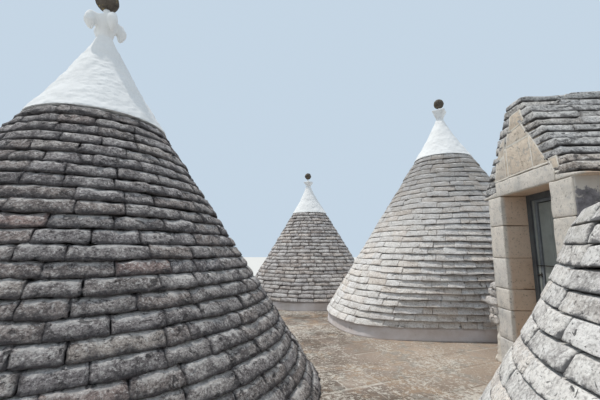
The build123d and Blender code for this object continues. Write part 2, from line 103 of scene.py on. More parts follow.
class Graph:
    # writes nodes into a geometry or material tree

    def __init__(self, tree):
        self.tree = tree

    def add(self, kind, inputs=None, **settings):
        made = self.tree.nodes.new(kind)
        for key, value in settings.items():
            setattr(made, key, value)
        for key, value in (inputs or {}).items():
            self.feed(made.inputs[key], value)
        return made

    def get(self, kind, inputs=None, **settings):
        return self.add(kind, inputs, **settings).outputs[0]

    def feed(self, socket, value):
        if isinstance(value, Signal):
            value = value.socket
        if isinstance(value, bpy.types.NodeSocket):
            self.tree.links.new(value, socket)
        else:
            socket.default_value = value

    def calc(self, operation, *values):
        made = self.add("ShaderNodeMath", operation=operation)
        for socket, value in zip(made.inputs, values):
            self.feed(socket, value)
        return Signal(self, made.outputs[0])

    def split(self, vector):
        parts = self.add("ShaderNodeSeparateXYZ", {0: vector})
        return [Signal(self, socket) for socket in parts.outputs]

    def join(self, x, y, z):
        return self.get("ShaderNodeCombineXYZ", {0: x, 1: y, 2: z})

    def vector(self, operation, first, second):
        return self.get("ShaderNodeVectorMath", {0: first, 1: second}, operation=operation)

    def scaled(self, vector, factor):
        made = self.add("ShaderNodeVectorMath", {0: vector}, operation="SCALE")
        self.feed(made.inputs["Scale"], factor)
        return made.outputs[0]

    def noise(self, where, scale, detail=3.0, roughness=0.6, distortion=0.0):
        return Signal(self, self.get("ShaderNodeTexNoise", {
            "Vector": where, "Scale": scale, "Detail": detail, "Roughness": roughness,
            "Distortion": distortion}))

    def facets(self, where, scale):
        # flat breaks that tilt each its own way, as on split stone
        wander = self.add("ShaderNodeTexNoise", {"Vector": where, "Scale": scale * 1.3, "Detail": 3.0})
        bent = self.vector("ADD", where, self.scaled(wander.outputs[1], 0.4 / scale))
        cells = self.add("ShaderNodeTexVoronoi", {"Vector": bent, "Scale": scale})
        across = self.scaled(self.vector("SUBTRACT", bent, cells.outputs["Position"]), scale)
        tilt = self.vector("ADD", cells.outputs["Color"], (-0.5, -0.5, -0.5))
        slope = self.add("ShaderNodeVectorMath", {0: across, 1: tilt}, operation="DOT_PRODUCT")
        return Signal(self, slope.outputs["Value"])

    def turned(self, x, y, z, angle):
        return self.get("ShaderNodeVectorRotate", {"Vector": self.join(x, y, z), "Angle": angle},
                        rotation_type="Z_AXIS")

    def chance(self, low, high, key, seed):
        made = self.add("FunctionNodeRandomValue", {2: low, 3: high, 7: key, 8: seed}, data_type="FLOAT")
        return Signal(self, made.outputs[1])

    def store(self, geometry, values):
        # named values on every point
        for name, value in values.items():
            inputs = {"Geometry": geometry, "Name": name, "Value": value}
            geometry = self.get("GeometryNodeStoreNamedAttribute", inputs, data_type="FLOAT", domain="POINT")
        return geometry

    def stored(self, name):
        return Signal(self, self.get("GeometryNodeInputNamedAttribute", {"Name": name}, data_type="FLOAT"))


def newTree(name, floats, others):
    # a tree with these inputs, and its inputs as signals by name
    tree = bpy.data.node_groups.new(name, "GeometryNodeTree")
    tree.interface.new_socket("Geometry", in_out="OUTPUT", socket_type="NodeSocketGeometry")
    tree.interface.new_socket("Geometry", in_out="INPUT", socket_type="NodeSocketGeometry")
    kinds = {**dict.fromkeys(floats, "Float"), **others}
    for label, kind in kinds.items():
        tree.interface.new_socket(label, in_out="INPUT", socket_type="NodeSocket" + kind)
    graph = Graph(tree)
    given = graph.add("NodeGroupInput")
    return graph, given, {label: Signal(graph, given.outputs[label]) for label in kinds}


def rowPoints(graph, size, amount):
    # one point for every stone of every row, with its number in the row and the row's own
    line = graph.get("GeometryNodeMeshLine", {"Count": size["Rows"], "Offset": (0, 0, 0)})
    line = graph.store(line, {"row": Signal(graph, graph.get("GeometryNodeInputIndex"))})
    copies = graph.add("GeometryNodeDuplicateElements", {"Geometry": line, "Amount": amount}, domain="POINT")
    return copies.outputs[0], Signal(graph, copies.outputs[1]), graph.stored("row")


def drawn(graph, size, key, **draws):
    # what each stone draws up to 1: the lowest value and the step of the seed
    draws.update(stoneTone=(0.0, 4), stoneCast=(0.0, 5))
    return {name: graph.chance(low, 1.0, key, size["Seed"] + step) for name, (low, step) in draws.items()}


def laidOut(graph, points, size):
    # the blank on every point, as real geometry
    blank = graph.add("GeometryNodeObjectInfo", {"Object": size["Blank"]}).outputs["Geometry"]
    stones = graph.get("GeometryNodeInstanceOnPoints", {"Points": points, "Instance": blank})
    return graph.get("GeometryNodeRealizeInstances", {0: stones})


def closeTree(graph, given, stones, size):
    # the stones with their material, and the bed they lie on
    stones = graph.get("GeometryNodeSetShadeSmooth", {"Geometry": stones})
    stones = graph.get("GeometryNodeSetMaterial", {"Geometry": stones, "Material": size["Stone"]})
    whole = graph.add("GeometryNodeJoinGeometry")
    for part in (stones, given.outputs["Geometry"]):
        graph.tree.links.new(part, whole.inputs[0])
    graph.tree.links.new(whole.outputs[0], graph.add("NodeGroupOutput").inputs[0])
    return graph.tree


def keyOf(label):
    # the input "Stone Length" is stoneLength in the looks
    first, *others = label.split()
    return first.lower() + "".join(others)


def grown(piece, tree, values):
    # runs a tree on a piece, with its inputs by name, and keeps the plain mesh
    modifier = piece.modifiers.new("grow", "NODES")
    modifier.node_group = tree
    for item in tree.interface.items_tree:
        if item.in_out == "INPUT" and keyOf(item.name) in values:
            modifier[item.identifier] = values[keyOf(item.name)]
    return finished(piece)


def finished(piece):
    # applies the piece's modifiers
    bpy.context.view_layer.update()
    evaluated = piece.evaluated_get(bpy.context.evaluated_depsgraph_get())
    mesh = bpy.data.meshes.new_from_object(evaluated)
    piece.modifiers.clear()
    piece.data = mesh
    mesh.name = piece.name
    return piece


def meshFrom(edit, name, outward=False):
    # keeps an edit mesh, with its faces turned outwards if asked
    if outward:
        bmesh.ops.recalc_face_normals(edit, faces=edit.faces)
    mesh = bpy.data.meshes.new(name)
    edit.to_mesh(mesh)
    edit.free()
    return mesh


def newPiece(name, mesh, material=None):
    piece = bpy.data.objects.new(name, mesh)
    bpy.context.scene.collection.objects.link(piece)
    if material:
        mesh.materials.append(material)
    return piece


def settle(piece, slot, *nodes):
    # the piece rides on the house and stands for its CAD nodes
    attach(piece, "root")
    if nodes:
        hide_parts(*nodes)


# Materials

def newMaterial(name, roughness):
    material = bpy.data.materials.new(name)
    material.use_nodes = True
    tree = material.node_tree
    tree.nodes.clear()
    graph = Graph(tree)
    shader = graph.add("ShaderNodeBsdfPrincipled")
    shader.inputs["Roughness"].default_value = roughness
    shader.inputs["Specular IOR Level"].default_value = 0.25
    out = graph.add("ShaderNodeOutputMaterial")
    tree.links.new(shader.outputs[0], out.inputs[0])
    where = graph.add("ShaderNodeTexCoord").outputs["Object"]
    return material, graph, shader, where


def ramp(graph, factor, stops):
    # colours between the stops, each (place, colour)
    made = graph.add("ShaderNodeValToRGB", {0: factor})
    band = made.color_ramp
    while len(band.elements) < len(stops):
        band.elements.new(0.5)
    for element, (place, colour) in zip(band.elements, stops):
        element.position = place
        element.color = (*colour, 1)
    return made.outputs[0]


def step(graph, factor, low, high, fromValue=0.0, toValue=1.0):
    # rises smoothly between low and high
    made = graph.add("ShaderNodeMapRange", {0: factor, 1: low, 2: high, 3: fromValue, 4: toValue})
    made.interpolation_type = "SMOOTHSTEP"
    return Signal(graph, made.outputs[0])


def blend(graph, share, base, over, mode="MIX"):
    made = graph.add("ShaderNodeMix", data_type="RGBA", blend_type=mode)
    graph.feed(made.inputs[0], share)
    for socket, value in ((made.inputs[6], base), (made.inputs[7], over)):
        graph.feed(socket, (*value, 1) if isinstance(value, tuple) else value)
    return made.outputs[2]


def coat(graph, shader, colour, height, strength, distance):
    # the colour, and the fine relief as a bump
    graph.feed(shader.inputs["Base Color"], colour)
    normal = graph.get("ShaderNodeBump", {"Height": height, "Strength": strength, "Distance": distance})
    graph.feed(shader.inputs["Normal"], normal)


def ownValue(graph, name):
    # a value that each stone carries
    return Signal(graph, graph.add("ShaderNodeAttribute", attribute_name=name).outputs["Fac"])


def roughStone(name, look):
    # split field stone: each stone has its own tone, with breaks, scoops, lichen and pits over it, a painted
    # highlight along its top, and painted shade along its foot and ends
    material, graph, shader, where = newMaterial(name, 0.92)
    tone, cast, rise = (ownValue(graph, label) for label in ("stoneTone", "stoneCast", "stoneRise"))
    bed = graph.vector("MULTIPLY", where, (1, 1, look["bedding"]))
    clouds = graph.noise(where, look["cloudScale"], 8, 0.7)
    scoops = graph.noise(bed, look["scoopScale"], 4, 0.6, 0.9)
    scooped = step(graph, scoops, look["scoopLevel"] - 0.06, look["scoopLevel"], 1, 0)
    grain = graph.noise(where, look["grainScale"], 6, 0.75)
    colour = ramp(graph, tone, look["tones"])
    colour = blend(graph, 1.0, colour, ramp(graph, cast, look["tints"]), "MULTIPLY")
    colour = blend(graph, step(graph, clouds, 0.36, 0.56, 1, 0), colour, look["cloud"], "MULTIPLY")
    lichen = graph.noise(where, look["lichenScale"], 8, 0.78, 0.3)
    cover = 0.5 + (0.5 - look["lichenCover"]) * 0.5
    lichen = step(graph, lichen, cover, cover + 0.09, 0, look["lichenStrength"])
    colour = blend(graph, lichen, colour, look["lichenColour"])
    grains = step(graph, grain, 0.36, 0.52, look["grainStrength"], 0)
    colour = blend(graph, grains, colour, look["grainColour"], "MULTIPLY")
    specks = step(graph, grain, 0.55, 0.68, 0, look["speckStrength"])
    colour = blend(graph, specks, colour, look["speckColour"])
    # the stone is darker higher up the cone, between the two given levels
    if "fade" in look:
        level = graph.split(where)[2] + (clouds - 0.5) * 2
        colour = blend(graph, step(graph, level, *look["fadeLevels"], 0, 1), colour, look["fade"], "MULTIPLY")
    # the top of each stone is lightened towards the lichen colour: a painted highlight
    rim = step(graph, rise + (clouds - 0.5) * 1.4, 0.66, 0.92, 0, look["rim"])
    colour = blend(graph, rim, colour, look["lichenColour"])
    # the scoops' hollows are darkened towards the pit colour: dirt and painted shade in the hollows
    colour = blend(graph, scooped * look["scoopDarkness"], colour, look["pitColour"])
    # the foot of each stone, and its ends, are darkened here: painted shade of the bed and the joints
    paintedJointShade = step(graph, rise + (clouds - 0.5) * 1.2, 0.0, look["dirtRise"], look["dirt"], 0)
    colour = blend(graph, paintedJointShade, colour, look["dirtColour"])
    breaks = graph.facets(bed, look["breakScale"]) + graph.facets(bed, look["breakScale"] * 2.7) * 0.45
    relief = breaks * 0.45 - scooped * 0.55 + graph.noise(bed, 15, 9, 0.68) * 0.9 + grain * 0.14
    coat(graph, shader, colour, relief, look["relief"], look["depth"])
    return material


def dressedStone(name, look):
    # sawn stone: grey and blotched where the weather reaches it, clean behind the front plane
    material, graph, shader, where = newMaterial(name, 0.85)
    tone = ownValue(graph, "stoneTone")
    colour = ramp(graph, graph.noise(where, 4.5, 8, 0.7), look["weathered"])
    colour = blend(graph, 1.0, colour, ramp(graph, tone, look["tint"]), "MULTIPLY")
    lichen = graph.noise(where, 13, 8, 0.75, 0.4)
    colour = blend(graph, step(graph, lichen, 0.53, 0.62, 0, look["lichen"]), colour, look["lichenColour"])
    if "frontPlane" in look:
        stains = graph.noise(where, 1.7, 7, 0.62)
        clean = ramp(graph, tone, look["clean"])
        clean = blend(graph, step(graph, stains, 0.38, 0.56, 1, 0), clean, look["stain"], "MULTIPLY")
        depth = graph.split(where)[0] - look["frontPlane"] + (stains - 0.5) * 0.1
        colour = blend(graph, step(graph, depth, 0.0, 0.05), colour, clean)
    pits = graph.noise(where, 46, 5, 0.65, 0.5)
    pitted = step(graph, pits, 0.36, 0.42, 1, 0)
    colour = blend(graph, pitted * 0.55, colour, look["pitColour"])
    relief = graph.noise(where, 12, 9, 0.68) + graph.noise(where, 90, 5, 0.7) * 0.2 - pitted * 0.35
    coat(graph, shader, colour, relief, look["relief"], 0.022)
    return material


def stainedPlaster(name, look):
    # pale render with dark lichen that spreads up from below
    material, graph, shader, where = newMaterial(name, 0.9)
    clouds = graph.noise(where, 2.6, 8, 0.68)
    colour = ramp(graph, clouds, look["plaster"])
    level = graph.split(where)[2]
    reach = (look["lichenTop"] - level) / look["lichenFade"] + (clouds - 0.5) * 2.2
    spots = graph.noise(where, 8, 8, 0.72, 0.4)
    cover = step(graph, reach.via("MINIMUM", 1.1) + (spots - 0.5) * 5.0, 0.3, 0.8, 0, look["lichenStrength"])
    colour = blend(graph, cover, colour, ramp(graph, graph.noise(where, 14, 6, 0.7), look["lichen"]))
    relief = graph.noise(where, 7, 9, 0.66) + graph.noise(where, 60, 5, 0.7) * 0.2
    coat(graph, shader, colour, relief, look["relief"], 0.03)
    return material


def wornPaving(name, look):
    # foot-worn flags: browns and greys with pale lichen specks over flags and joints alike
    material, graph, shader, where = newMaterial(name, 0.9)
    broad = graph.noise(where, look["broadScale"], 8, 0.66)
    colour = ramp(graph, broad + (ownValue(graph, "stoneTone") - 0.5) * look["flagSpread"], look["tones"])
    ochre = graph.noise(where, 1.9, 7, 0.65, 0.4)
    colour = blend(graph, step(graph, ochre, 0.50, 0.62, 0, 0.7), colour, look["ochre"])
    away = graph.add("ShaderNodeVectorMath", {0: where, 1: look["wornPlace"]}, operation="DISTANCE")
    away = Signal(graph, away.outputs["Value"]) + (broad - 0.5) * 3
    colour = blend(graph, step(graph, away, *look["wornReach"], 0.6, 0), colour, look["worn"])
    grey = graph.noise(where, 3.1, 8, 0.7, 0.3)
    colour = blend(graph, step(graph, grey, 0.52, 0.60, 0, 0.65), colour, look["grey"])
    specks = graph.noise(where, 24, 8, 0.76, 0.5)
    spread = graph.noise(where, 1.3, 4, 0.6)
    speckle = step(graph, specks + (spread - 0.5) * 0.45, 0.51, 0.59, 0, look["speckStrength"])
    colour = blend(graph, speckle, colour, look["speck"])
    dark = graph.noise(where, 38, 7, 0.75, 0.5)
    colour = blend(graph, step(graph, dark, 0.34, 0.46, 0.7, 0), colour, look["dark"])
    if "edge" in look:  # the slab's outer edge is limewashed like the walls
        level = graph.split(where)[2]
        washed = step(graph, level, *look["edgeFoot"], 0, 1) * step(graph, level, *look["edgeTop"], 1, 0)
        colour = blend(graph, washed, colour, look["edge"])
    relief = graph.noise(where, 11, 9, 0.68) + graph.noise(where, 65, 5, 0.7) * 0.25 + speckle * 0.15
    coat(graph, shader, colour, relief, look["relief"], 0.02)
    return material


def jointFill():
    # the dark earth behind the stones
    material, graph, shader, where = newMaterial("jointFill", 0.95)
    colour = ramp(graph, graph.noise(where, 12, 5), [(0.3, (0.03, 0.027, 0.025)), (0.7, (0.10, 0.088, 0.08))])
    graph.feed(shader.inputs["Base Color"], colour)
    return material


def limewash(name, look):
    # brushed limewash over stone or plaster
    material, graph, shader, where = newMaterial(name, 0.85)
    cloud = graph.noise(where, 1.6, 6, 0.6)
    colour = ramp(graph, cloud, [(0.3, look["shade"]), (0.62, look["white"])])
    fleck = graph.noise(where, look["fleckScale"], 6, 0.7, 0.5)
    low = 1 - look["fleckCover"]
    colour = blend(graph, step(graph, fleck, low, low + 0.08, 0, 0.75), colour, look["fleckColour"])
    brushed = graph.noise(where, 9, 7, 0.62) + graph.noise(where, 55, 4, 0.6) * 0.25
    coat(graph, shader, colour, brushed, look["relief"], 0.03)
    return material


# Cones

thinCourses = {
    "slot": "grey_stone", "crisp": True, "lengthSpread": 0.3, "joint": 0.003, "bedJoint": 0.006,
    "setBack": 0.010,
    "overhang": 0.002, "topRound": 0.017, "footRound": 0.009, "endRound": 0.008, "chip": 1.0,
}
plainTip = {"lean": 0.0, "cupTurn": 12, "cupFlare": 1.2, "lobeLength": 0}
coneLooks = {
    "left_cone": {
        "slot": "dark_stone", "crisp": False,
        "footRadius": 2.9, "capRadius": 0.805, "courses": 25,
        "stoneLength": 0.43, "lengthSpread": 0.3, "joint": 0.003, "bedJoint": 0.005, "stoneDepth": 0.30,
        "setBack": 0.012, "overhang": 0.003, "topRound": 0.038, "footRound": 0.020, "endRound": 0.015,
        "lump": 0.060, "chip": 1.0, "wave": 0.05, "seed": 11,
        "tip": {"neckRadius": 0.082, "neckLevel": 4.46, "lean": -0.045, "cupLevel": 4.77, "cupRadius": 0.215,
                "cupTurn": 56, "cupFlare": 3.0, "lobeLength": 0.26, "ballLevel": 5.05, "ballRadius": 0.147},
    },
    "back_cone": {
        **thinCourses, "footRadius": 2.08, "capRadius": 0.55, "courses": 26,
        "stoneLength": 0.36, "stoneDepth": 0.26, "lump": 0.030, "wave": 0.05, "seed": 23,
        "tip": {**plainTip, "neckRadius": 0.062, "neckLevel": 3.67, "lean": -0.035, "cupLevel": 3.85,
                "cupRadius": 0.16, "ballLevel": 4.035, "ballRadius": 0.105},
    },
    "right_cone": {
        **thinCourses, "footRadius": 2.85, "capRadius": 0.64, "courses": 30, "flatSide": 1.85,
        "stoneLength": 0.38, "stoneDepth": 0.28, "lump": 0.034, "wave": 0.08, "seed": 37,
        "tip": {**plainTip, "neckRadius": 0.075, "neckLevel": 4.75, "cupLevel": 5.01, "cupRadius": 0.195,
                "ballLevel": 5.185, "ballRadius": 0.117},
    },
    "near_cone": {
        "slot": "pale_stone", "crisp": True,
        "footRadius": 2.455, "capRadius": 0.56, "courses": 27, "ledgeShare": 0.516, "ledgeReach": 0.13,
        "stoneLength": 0.52, "lengthSpread": 0.36, "joint": 0.013, "bedJoint": 0.009, "stoneDepth": 0.30,
        "setBack": 0.008, "overhang": 0.003, "topRound": 0.012, "footRound": 0.009, "endRound": 0.018,
        "lump": 0.018, "chip": 1.2, "wave": 0.02, "seed": 41,
        "tip": {**plainTip, "neckRadius": 0.07, "neckLevel": 4.26, "cupLevel": 4.48, "cupRadius": 0.18,
                "cupTurn": 40, "ballLevel": 4.66, "ballRadius": 0.115},
    },
}

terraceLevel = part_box("terrace_slab")[1][2]
cornerSharpness = 8      # of the plan where a cone has a flat side
roundAtCap = 1.3         # a flat side this far out leaves the plan round
coreSetBack = 0.13       # how far the dark bed stands behind the stones' faces
coreShell = 0.25         # what lies this close to the outside is drawn in
endShadeReach = 0.035     # the painted shade of the joints reaches this far in from the ends of a stone
stoneTilt = 0.005
farAway = 100.0
stonesPerRing = 997      # keeps the stones of two courses apart in the random draws


def conePlace(name):
    # the axis and the levels of a cone, from its CAD nodes
    low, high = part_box(name + "_cap")
    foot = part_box(name + "_courses")[0][2]
    return {"x": (low[0] + high[0]) / 2, "y": (low[1] + high[1]) / 2, "foot": foot, "cap": low[2]}


def stoneBlank(name, across, upward):
    # a slab two units wide each way: a fine front, plain sides and one face at the back
    edit = bmesh.new()
    grid = [[edit.verts.new((x, 1, z)) for x in across] for z in upward]
    for low, high in zip(grid, grid[1:]):
        for side in range(len(across) - 1):
            edit.faces.new((low[side], high[side], high[side + 1], low[side + 1]))
    rim = grid[0][:-1] + [row[-1] for row in grid[:-1]] + grid[-1][:0:-1] + [row[0] for row in grid[:0:-1]]
    back = [edit.verts.new((vertex.co.x, -1, vertex.co.z)) for vertex in rim]
    for side in range(len(rim)):
        edit.faces.new((rim[side - 1], rim[side], back[side], back[side - 1]))
    edit.faces.new(back)
    return bpy.data.objects.new(name, meshFrom(edit, name, True))


def lumpy(graph, geometry, amount, scale, broken=0.0):
    # moves points in and out, as on a split face
    where = graph.get("GeometryNodeInputPosition")
    swell = graph.noise(where, scale, 4, 0.62) - 0.5
    if broken:
        swell = swell * (1 - broken) + graph.facets(where, scale) * broken
    offset = graph.scaled(graph.get("GeometryNodeInputNormal"), swell * amount)
    return graph.get("GeometryNodeSetPosition", {"Geometry": geometry, "Offset": offset})


def corbelledCourses():
    # rings of stones, each course set back from the one below
    floats = ["Foot Radius", "Cap Radius", "Foot Level", "Cap Level", "Stone Length", "Length Spread",
              "Joint", "Bed Joint", "Stone Depth", "Set Back", "Overhang", "Top Round", "Foot Round",
              "End Round", "Lump", "Chip", "Wave", "Flatness", "Ledge Share", "Ledge Reach", "Keep Out X",
              "Keep Out Y"]
    others = {"Centre": "Vector", "Courses": "Int", "Seed": "Int", "Blank": "Object", "Stone": "Material"}
    graph, given, size = newTree("corbelledCourses", floats, others)

    line = graph.get("GeometryNodeMeshLine", {"Count": size["Courses"], "Offset": (0, 0, 0)})
    course = Signal(graph, graph.get("GeometryNodeInputIndex"))
    share = course / size["Courses"]
    taper = size["Foot Radius"] - size["Cap Radius"]

    def radiusAt(share):
        ledge = (share / size["Ledge Share"]) ** 4 * share.via("LESS_THAN", size["Ledge Share"])
        return size["Foot Radius"] - taper * share + ledge * size["Ledge Reach"]

    radius, nextRadius = radiusAt(share), radiusAt((course + 1) / size["Courses"])
    lean = (radius - nextRadius).via("MINIMUM", taper / size["Courses"])
    count = (radius * math.tau / size["Stone Length"]).via("ROUND")
    line = graph.store(line, {"course": course, "courseRadius": radius, "stonesAround": count,
                              "courseShare": share, "courseLean": lean})

    amount = {"Geometry": line, "Amount": graph.stored("stonesAround")}
    copies = graph.add("GeometryNodeDuplicateElements", amount, domain="POINT")
    turn = Signal(graph, copies.outputs[1])
    course, around = graph.stored("course"), graph.stored("stonesAround")

    def jointAngle(number):
        key = course * stonesPerRing + number % around
        wander = graph.chance(-0.5, 0.5, key, size["Seed"]) * size["Length Spread"] * 2
        start = graph.chance(0.0, 1.0, course, size["Seed"] + 1)
        return (number + wander + start) * math.tau / around

    points = graph.store(copies.outputs[0], {
        "jointFrom": jointAngle(turn), "jointTo": jointAngle(turn + 1),
        **drawn(graph, size, course * stonesPerRing + turn, push=(-1.0, 2), lift=(-1.0, 3))})

    # no stones where the stair head stands
    centreX, centreY, _ = graph.split(size["Centre"].socket)
    middle = (graph.stored("jointFrom") + graph.stored("jointTo")) / 2
    stoneX = centreX + graph.stored("courseRadius") * middle.via("COSINE")
    stoneY = centreY + graph.stored("courseRadius") * middle.via("SINE")
    inside = stoneX.via("GREATER_THAN", size["Keep Out X"]) * stoneY.via("GREATER_THAN", size["Keep Out Y"])
    points = graph.get("GeometryNodeDeleteGeometry", {"Geometry": points, "Selection": inside})
    stones = laidOut(graph, points, size)

    # where each point of a stone goes: its angle, its level and how far out
    along, deep, up = graph.split(graph.get("GeometryNodeInputPosition"))
    radius, share = graph.stored("courseRadius"), graph.stored("courseShare")
    start, end, lift = graph.stored("jointFrom"), graph.stored("jointTo"), graph.stored("lift")
    gap = size["Joint"] / radius
    angle = start + gap / 2 + (end - start - gap) * (along + 1) / 2
    plan = size["Flatness"] + (roundAtCap - size["Flatness"]) * share
    facing = (-angle.via("SINE") / plan).via("MAXIMUM", 0.0)
    flattened = (1 + facing ** cornerSharpness) ** (-1 / cornerSharpness)
    isFlat = size["Flatness"].via("LESS_THAN", roundAtCap)
    height = (size["Cap Level"] - size["Foot Level"]) / size["Courses"]
    rise = (up + 1) / 2
    fromEnd = (1 - abs(along)) * ((end - start - gap) * radius) / 2
    # stoneRise: the height in the stone, held low near its ends; roughStone paints a highlight along its top
    # and shade along its foot and ends from it
    stones = graph.store(stones, {"stoneRise": rise.via("MINIMUM", fromEnd / endShadeReach)})

    def pulled(distance, edge):
        # how far the face turns in at this distance from an edge
        inward = (1 - distance / edge).via("MAXIMUM", 0.0)
        return edge * (1 - (1 - inward * inward).via("SQRT"))

    bed = size["Foot Level"] + height * graph.stored("course")
    soft = 0.5 + graph.noise(graph.join(angle * radius, bed, 0.0), 9, 3, 0.6) * size["Chip"]
    turnedIn = pulled((1 - rise) * height, size["Top Round"] * soft)
    turnedIn = turnedIn + pulled(rise * height, size["Foot Round"] * soft)
    turnedIn = turnedIn + pulled(fromEnd, size["End Round"] * soft)
    face = graph.stored("push") * size["Set Back"] - turnedIn
    face = face - rise * (graph.stored("courseLean") + size["Overhang"])
    inFront = deep.via("GREATER_THAN", 0.0)
    reach = radius * (1 + (flattened - 1) * isFlat) + face * inFront - (1 - inFront) * size["Stone Depth"]
    level = bed + lift * stoneTilt * along + rise * (height - size["Bed Joint"] * (1.2 + lift))
    place = graph.join(centreX + reach * angle.via("COSINE"), centreY + reach * angle.via("SINE"), level)
    stones = graph.get("GeometryNodeSetPosition", {"Geometry": stones, "Position": place})
    stones = lumpy(graph, stones, size["Lump"], 9.0, 0.5)
    stones = lumpy(graph, stones, size["Lump"] * 0.5, 22.0, 0.5)

    # the beds rise and fall a little round the cone
    swing = graph.noise(graph.get("GeometryNodeInputPosition"), 1.3, 3, 0.5) - 0.5
    rising = graph.join(0.0, 0.0, swing * size["Wave"] * (share * 10).via("MINIMUM", 1.0))
    stones = graph.get("GeometryNodeSetPosition", {"Geometry": stones, "Offset": rising})
    return closeTree(graph, given, stones, size)


def flatnessOf(look):
    # how far the flat side of a plan stands from the axis, as a share of the radius
    return look["flatSide"] / look["footRadius"] if "flatSide" in look else roundAtCap


def planFactor(angle, roundness):
    facing = max(0.0, -math.sin(angle) / roundness)
    return (1 + facing ** cornerSharpness) ** (-1 / cornerSharpness)


def mergedCopy(node):
    # a CAD node's mesh with its loose triangles joined up
    mesh = frame["nodes"][node].data.copy()
    edit = bmesh.new()
    edit.from_mesh(mesh)
    bmesh.ops.remove_doubles(edit, verts=edit.verts, dist=0.0002)
    edit.to_mesh(mesh)
    edit.free()
    mesh.materials.clear()
    return mesh


def core(name, look, place):
    # the shell behind the stones: the CAD shell with its outside drawn in
    mesh = mergedCopy(name + "_courses")
    slope = (look["footRadius"] - look["capRadius"]) / (place["cap"] - place["foot"])
    for vertex in mesh.vertices:
        x, y = vertex.co.x - place["x"], vertex.co.y - place["y"]
        distance = math.hypot(x, y)
        outside = look["footRadius"] - slope * (vertex.co.z - place["foot"])
        if "flatSide" in look:
            share = (vertex.co.z - place["foot"]) / (place["cap"] - place["foot"])
            flatness = flatnessOf(look)
            outside *= planFactor(math.atan2(y, x), flatness + (roundAtCap - flatness) * share)
        if distance > outside - coreShell:
            vertex.co.x = place["x"] + x * (distance - coreSetBack) / distance
            vertex.co.y = place["y"] + y * (distance - coreSetBack) / distance
    return mesh


def ringMesh(name, rings):
    # a closed mesh through rings of points
    edit = bmesh.new()
    loops = [[edit.verts.new(point) for point in ring] for ring in rings]
    for lower, upper in zip(loops, loops[1:]):
        for side in range(len(lower)):
            edit.faces.new((lower[side - 1], lower[side], upper[side], upper[side - 1]))
    edit.faces.new(loops[0][::-1])
    edit.faces.new(loops[-1])
    return meshFrom(edit, name, True)


def circle(x, y, z, radius, sides):
    turns = (math.tau * side / sides for side in range(sides))
    return [Vector((x + radius * math.cos(turn), y + radius * math.sin(turn), z)) for turn in turns]


def joined(name, meshes):
    edit = bmesh.new()
    for mesh in meshes:
        edit.from_mesh(mesh)
    return meshFrom(edit, name)


def remeshed(piece, voxel, smoothing):
    # melts overlapping forms into one skin
    remesh = piece.modifiers.new("remesh", "REMESH")
    remesh.mode = "VOXEL"
    remesh.voxel_size = voxel
    remesh.use_smooth_shade = True
    piece.modifiers.new("smooth", "SMOOTH").iterations = smoothing
    return finished(piece)


def dented(mesh, amount, scale, seed):
    # hand-made unevenness, along the normals
    shift = Vector((seed * 7.3, seed * 3.1, seed * 5.7))
    moves = [vertex.normal * noise.fractal(vertex.co * scale + shift, 0.7, 2.0, 4) * amount
             for vertex in mesh.vertices]
    for vertex, move in zip(mesh.vertices, moves):
        vertex.co += move


tipForm = {
    "lip": 0.018, "hollow": 0.035, "waist": 0.68, "rim": 0.03, "pinRadius": 0.038,
    "lobeRadius": 0.07, "sides": 40, "voxel": 0.016, "dent": 0.012,
    "overlap": 0.04, "lobeBow": 0.02,
}


def leanAt(tip, place, level):
    return tip["lean"] * (level - place["cap"]) / (tip["neckLevel"] + terraceLevel - place["cap"])


def coneTip(name, look, place, material):
    # limewashed tip: hollow-sided cone, pointed cup, hanging drops and the pin under the ball
    tip, form = look["tip"], tipForm
    neck, cup = tip["neckLevel"] + terraceLevel, tip["cupLevel"] + terraceLevel
    x, y = place["x"], place["y"]

    def axis(level):
        return x + leanAt(tip, place, level)

    rings, foot = [], look["capRadius"] + form["lip"]
    for rank in range(9):
        share = rank / 8
        level = place["cap"] + (neck + form["overlap"] - place["cap"]) * share
        radius = foot - (foot - tip["neckRadius"]) * share
        radius -= 4 * form["hollow"] * share * (1 - share)
        rings.append(circle(axis(level), y, level, radius, form["sides"]))
    meshes = [ringMesh(name, rings)]

    rings = []
    rim = cup - form["rim"]
    for rank in range(8):
        share = rank / 6
        level = neck + (rim - neck) * share if rank < 7 else cup
        share = min(1.0, share)
        waist = tip["neckRadius"] + (tip["cupRadius"] * form["waist"] - tip["neckRadius"]) * share
        reach = tip["cupRadius"] * (1 - form["waist"]) * share ** tip["cupFlare"]
        ring = []
        for side in range(form["sides"]):
            along = math.tau * side / form["sides"]
            radius = waist + reach * ((1 + math.cos(4 * along)) / 2) ** 1.5
            turn = along + math.radians(tip["cupTurn"])
            ring.append(Vector((axis(level) + radius * math.cos(turn), y + radius * math.sin(turn), level)))
        rings.append(ring)
    meshes.append(ringMesh(name, rings))

    for point in range(4 if tip["lobeLength"] else 0):
        turn = math.radians(tip["cupTurn"] + 90 * point)
        reach = tip["cupRadius"] - form["lobeRadius"] * 0.4
        rings = []
        for rank in range(9):
            share = rank / 8
            level = cup + 0.01 - tip["lobeLength"] * share
            radius = form["lobeRadius"] * math.sin(math.pi * (0.18 + 0.77 * share)) ** 0.8
            out = reach + form["lobeBow"] * math.sin(math.pi * share)
            middle = (axis(level) + out * math.cos(turn), y + out * math.sin(turn), level)
            rings.append(circle(*middle, radius, 14))
        meshes.append(ringMesh(name, rings))
    seat = tip["ballLevel"] + terraceLevel - tip["ballRadius"]
    pin = [circle(axis(seat), y, level, form["pinRadius"], 16) for level in (cup - 0.03, seat + 0.01)]
    meshes.append(ringMesh(name, pin))

    piece = remeshed(newPiece(name + "_tip", joined(name, meshes)), form["voxel"], 3)
    dented(piece.data, form["dent"], 5.0, look["seed"])
    piece.data.materials.append(material)
    settle(piece, "limewash", name + "_cap")


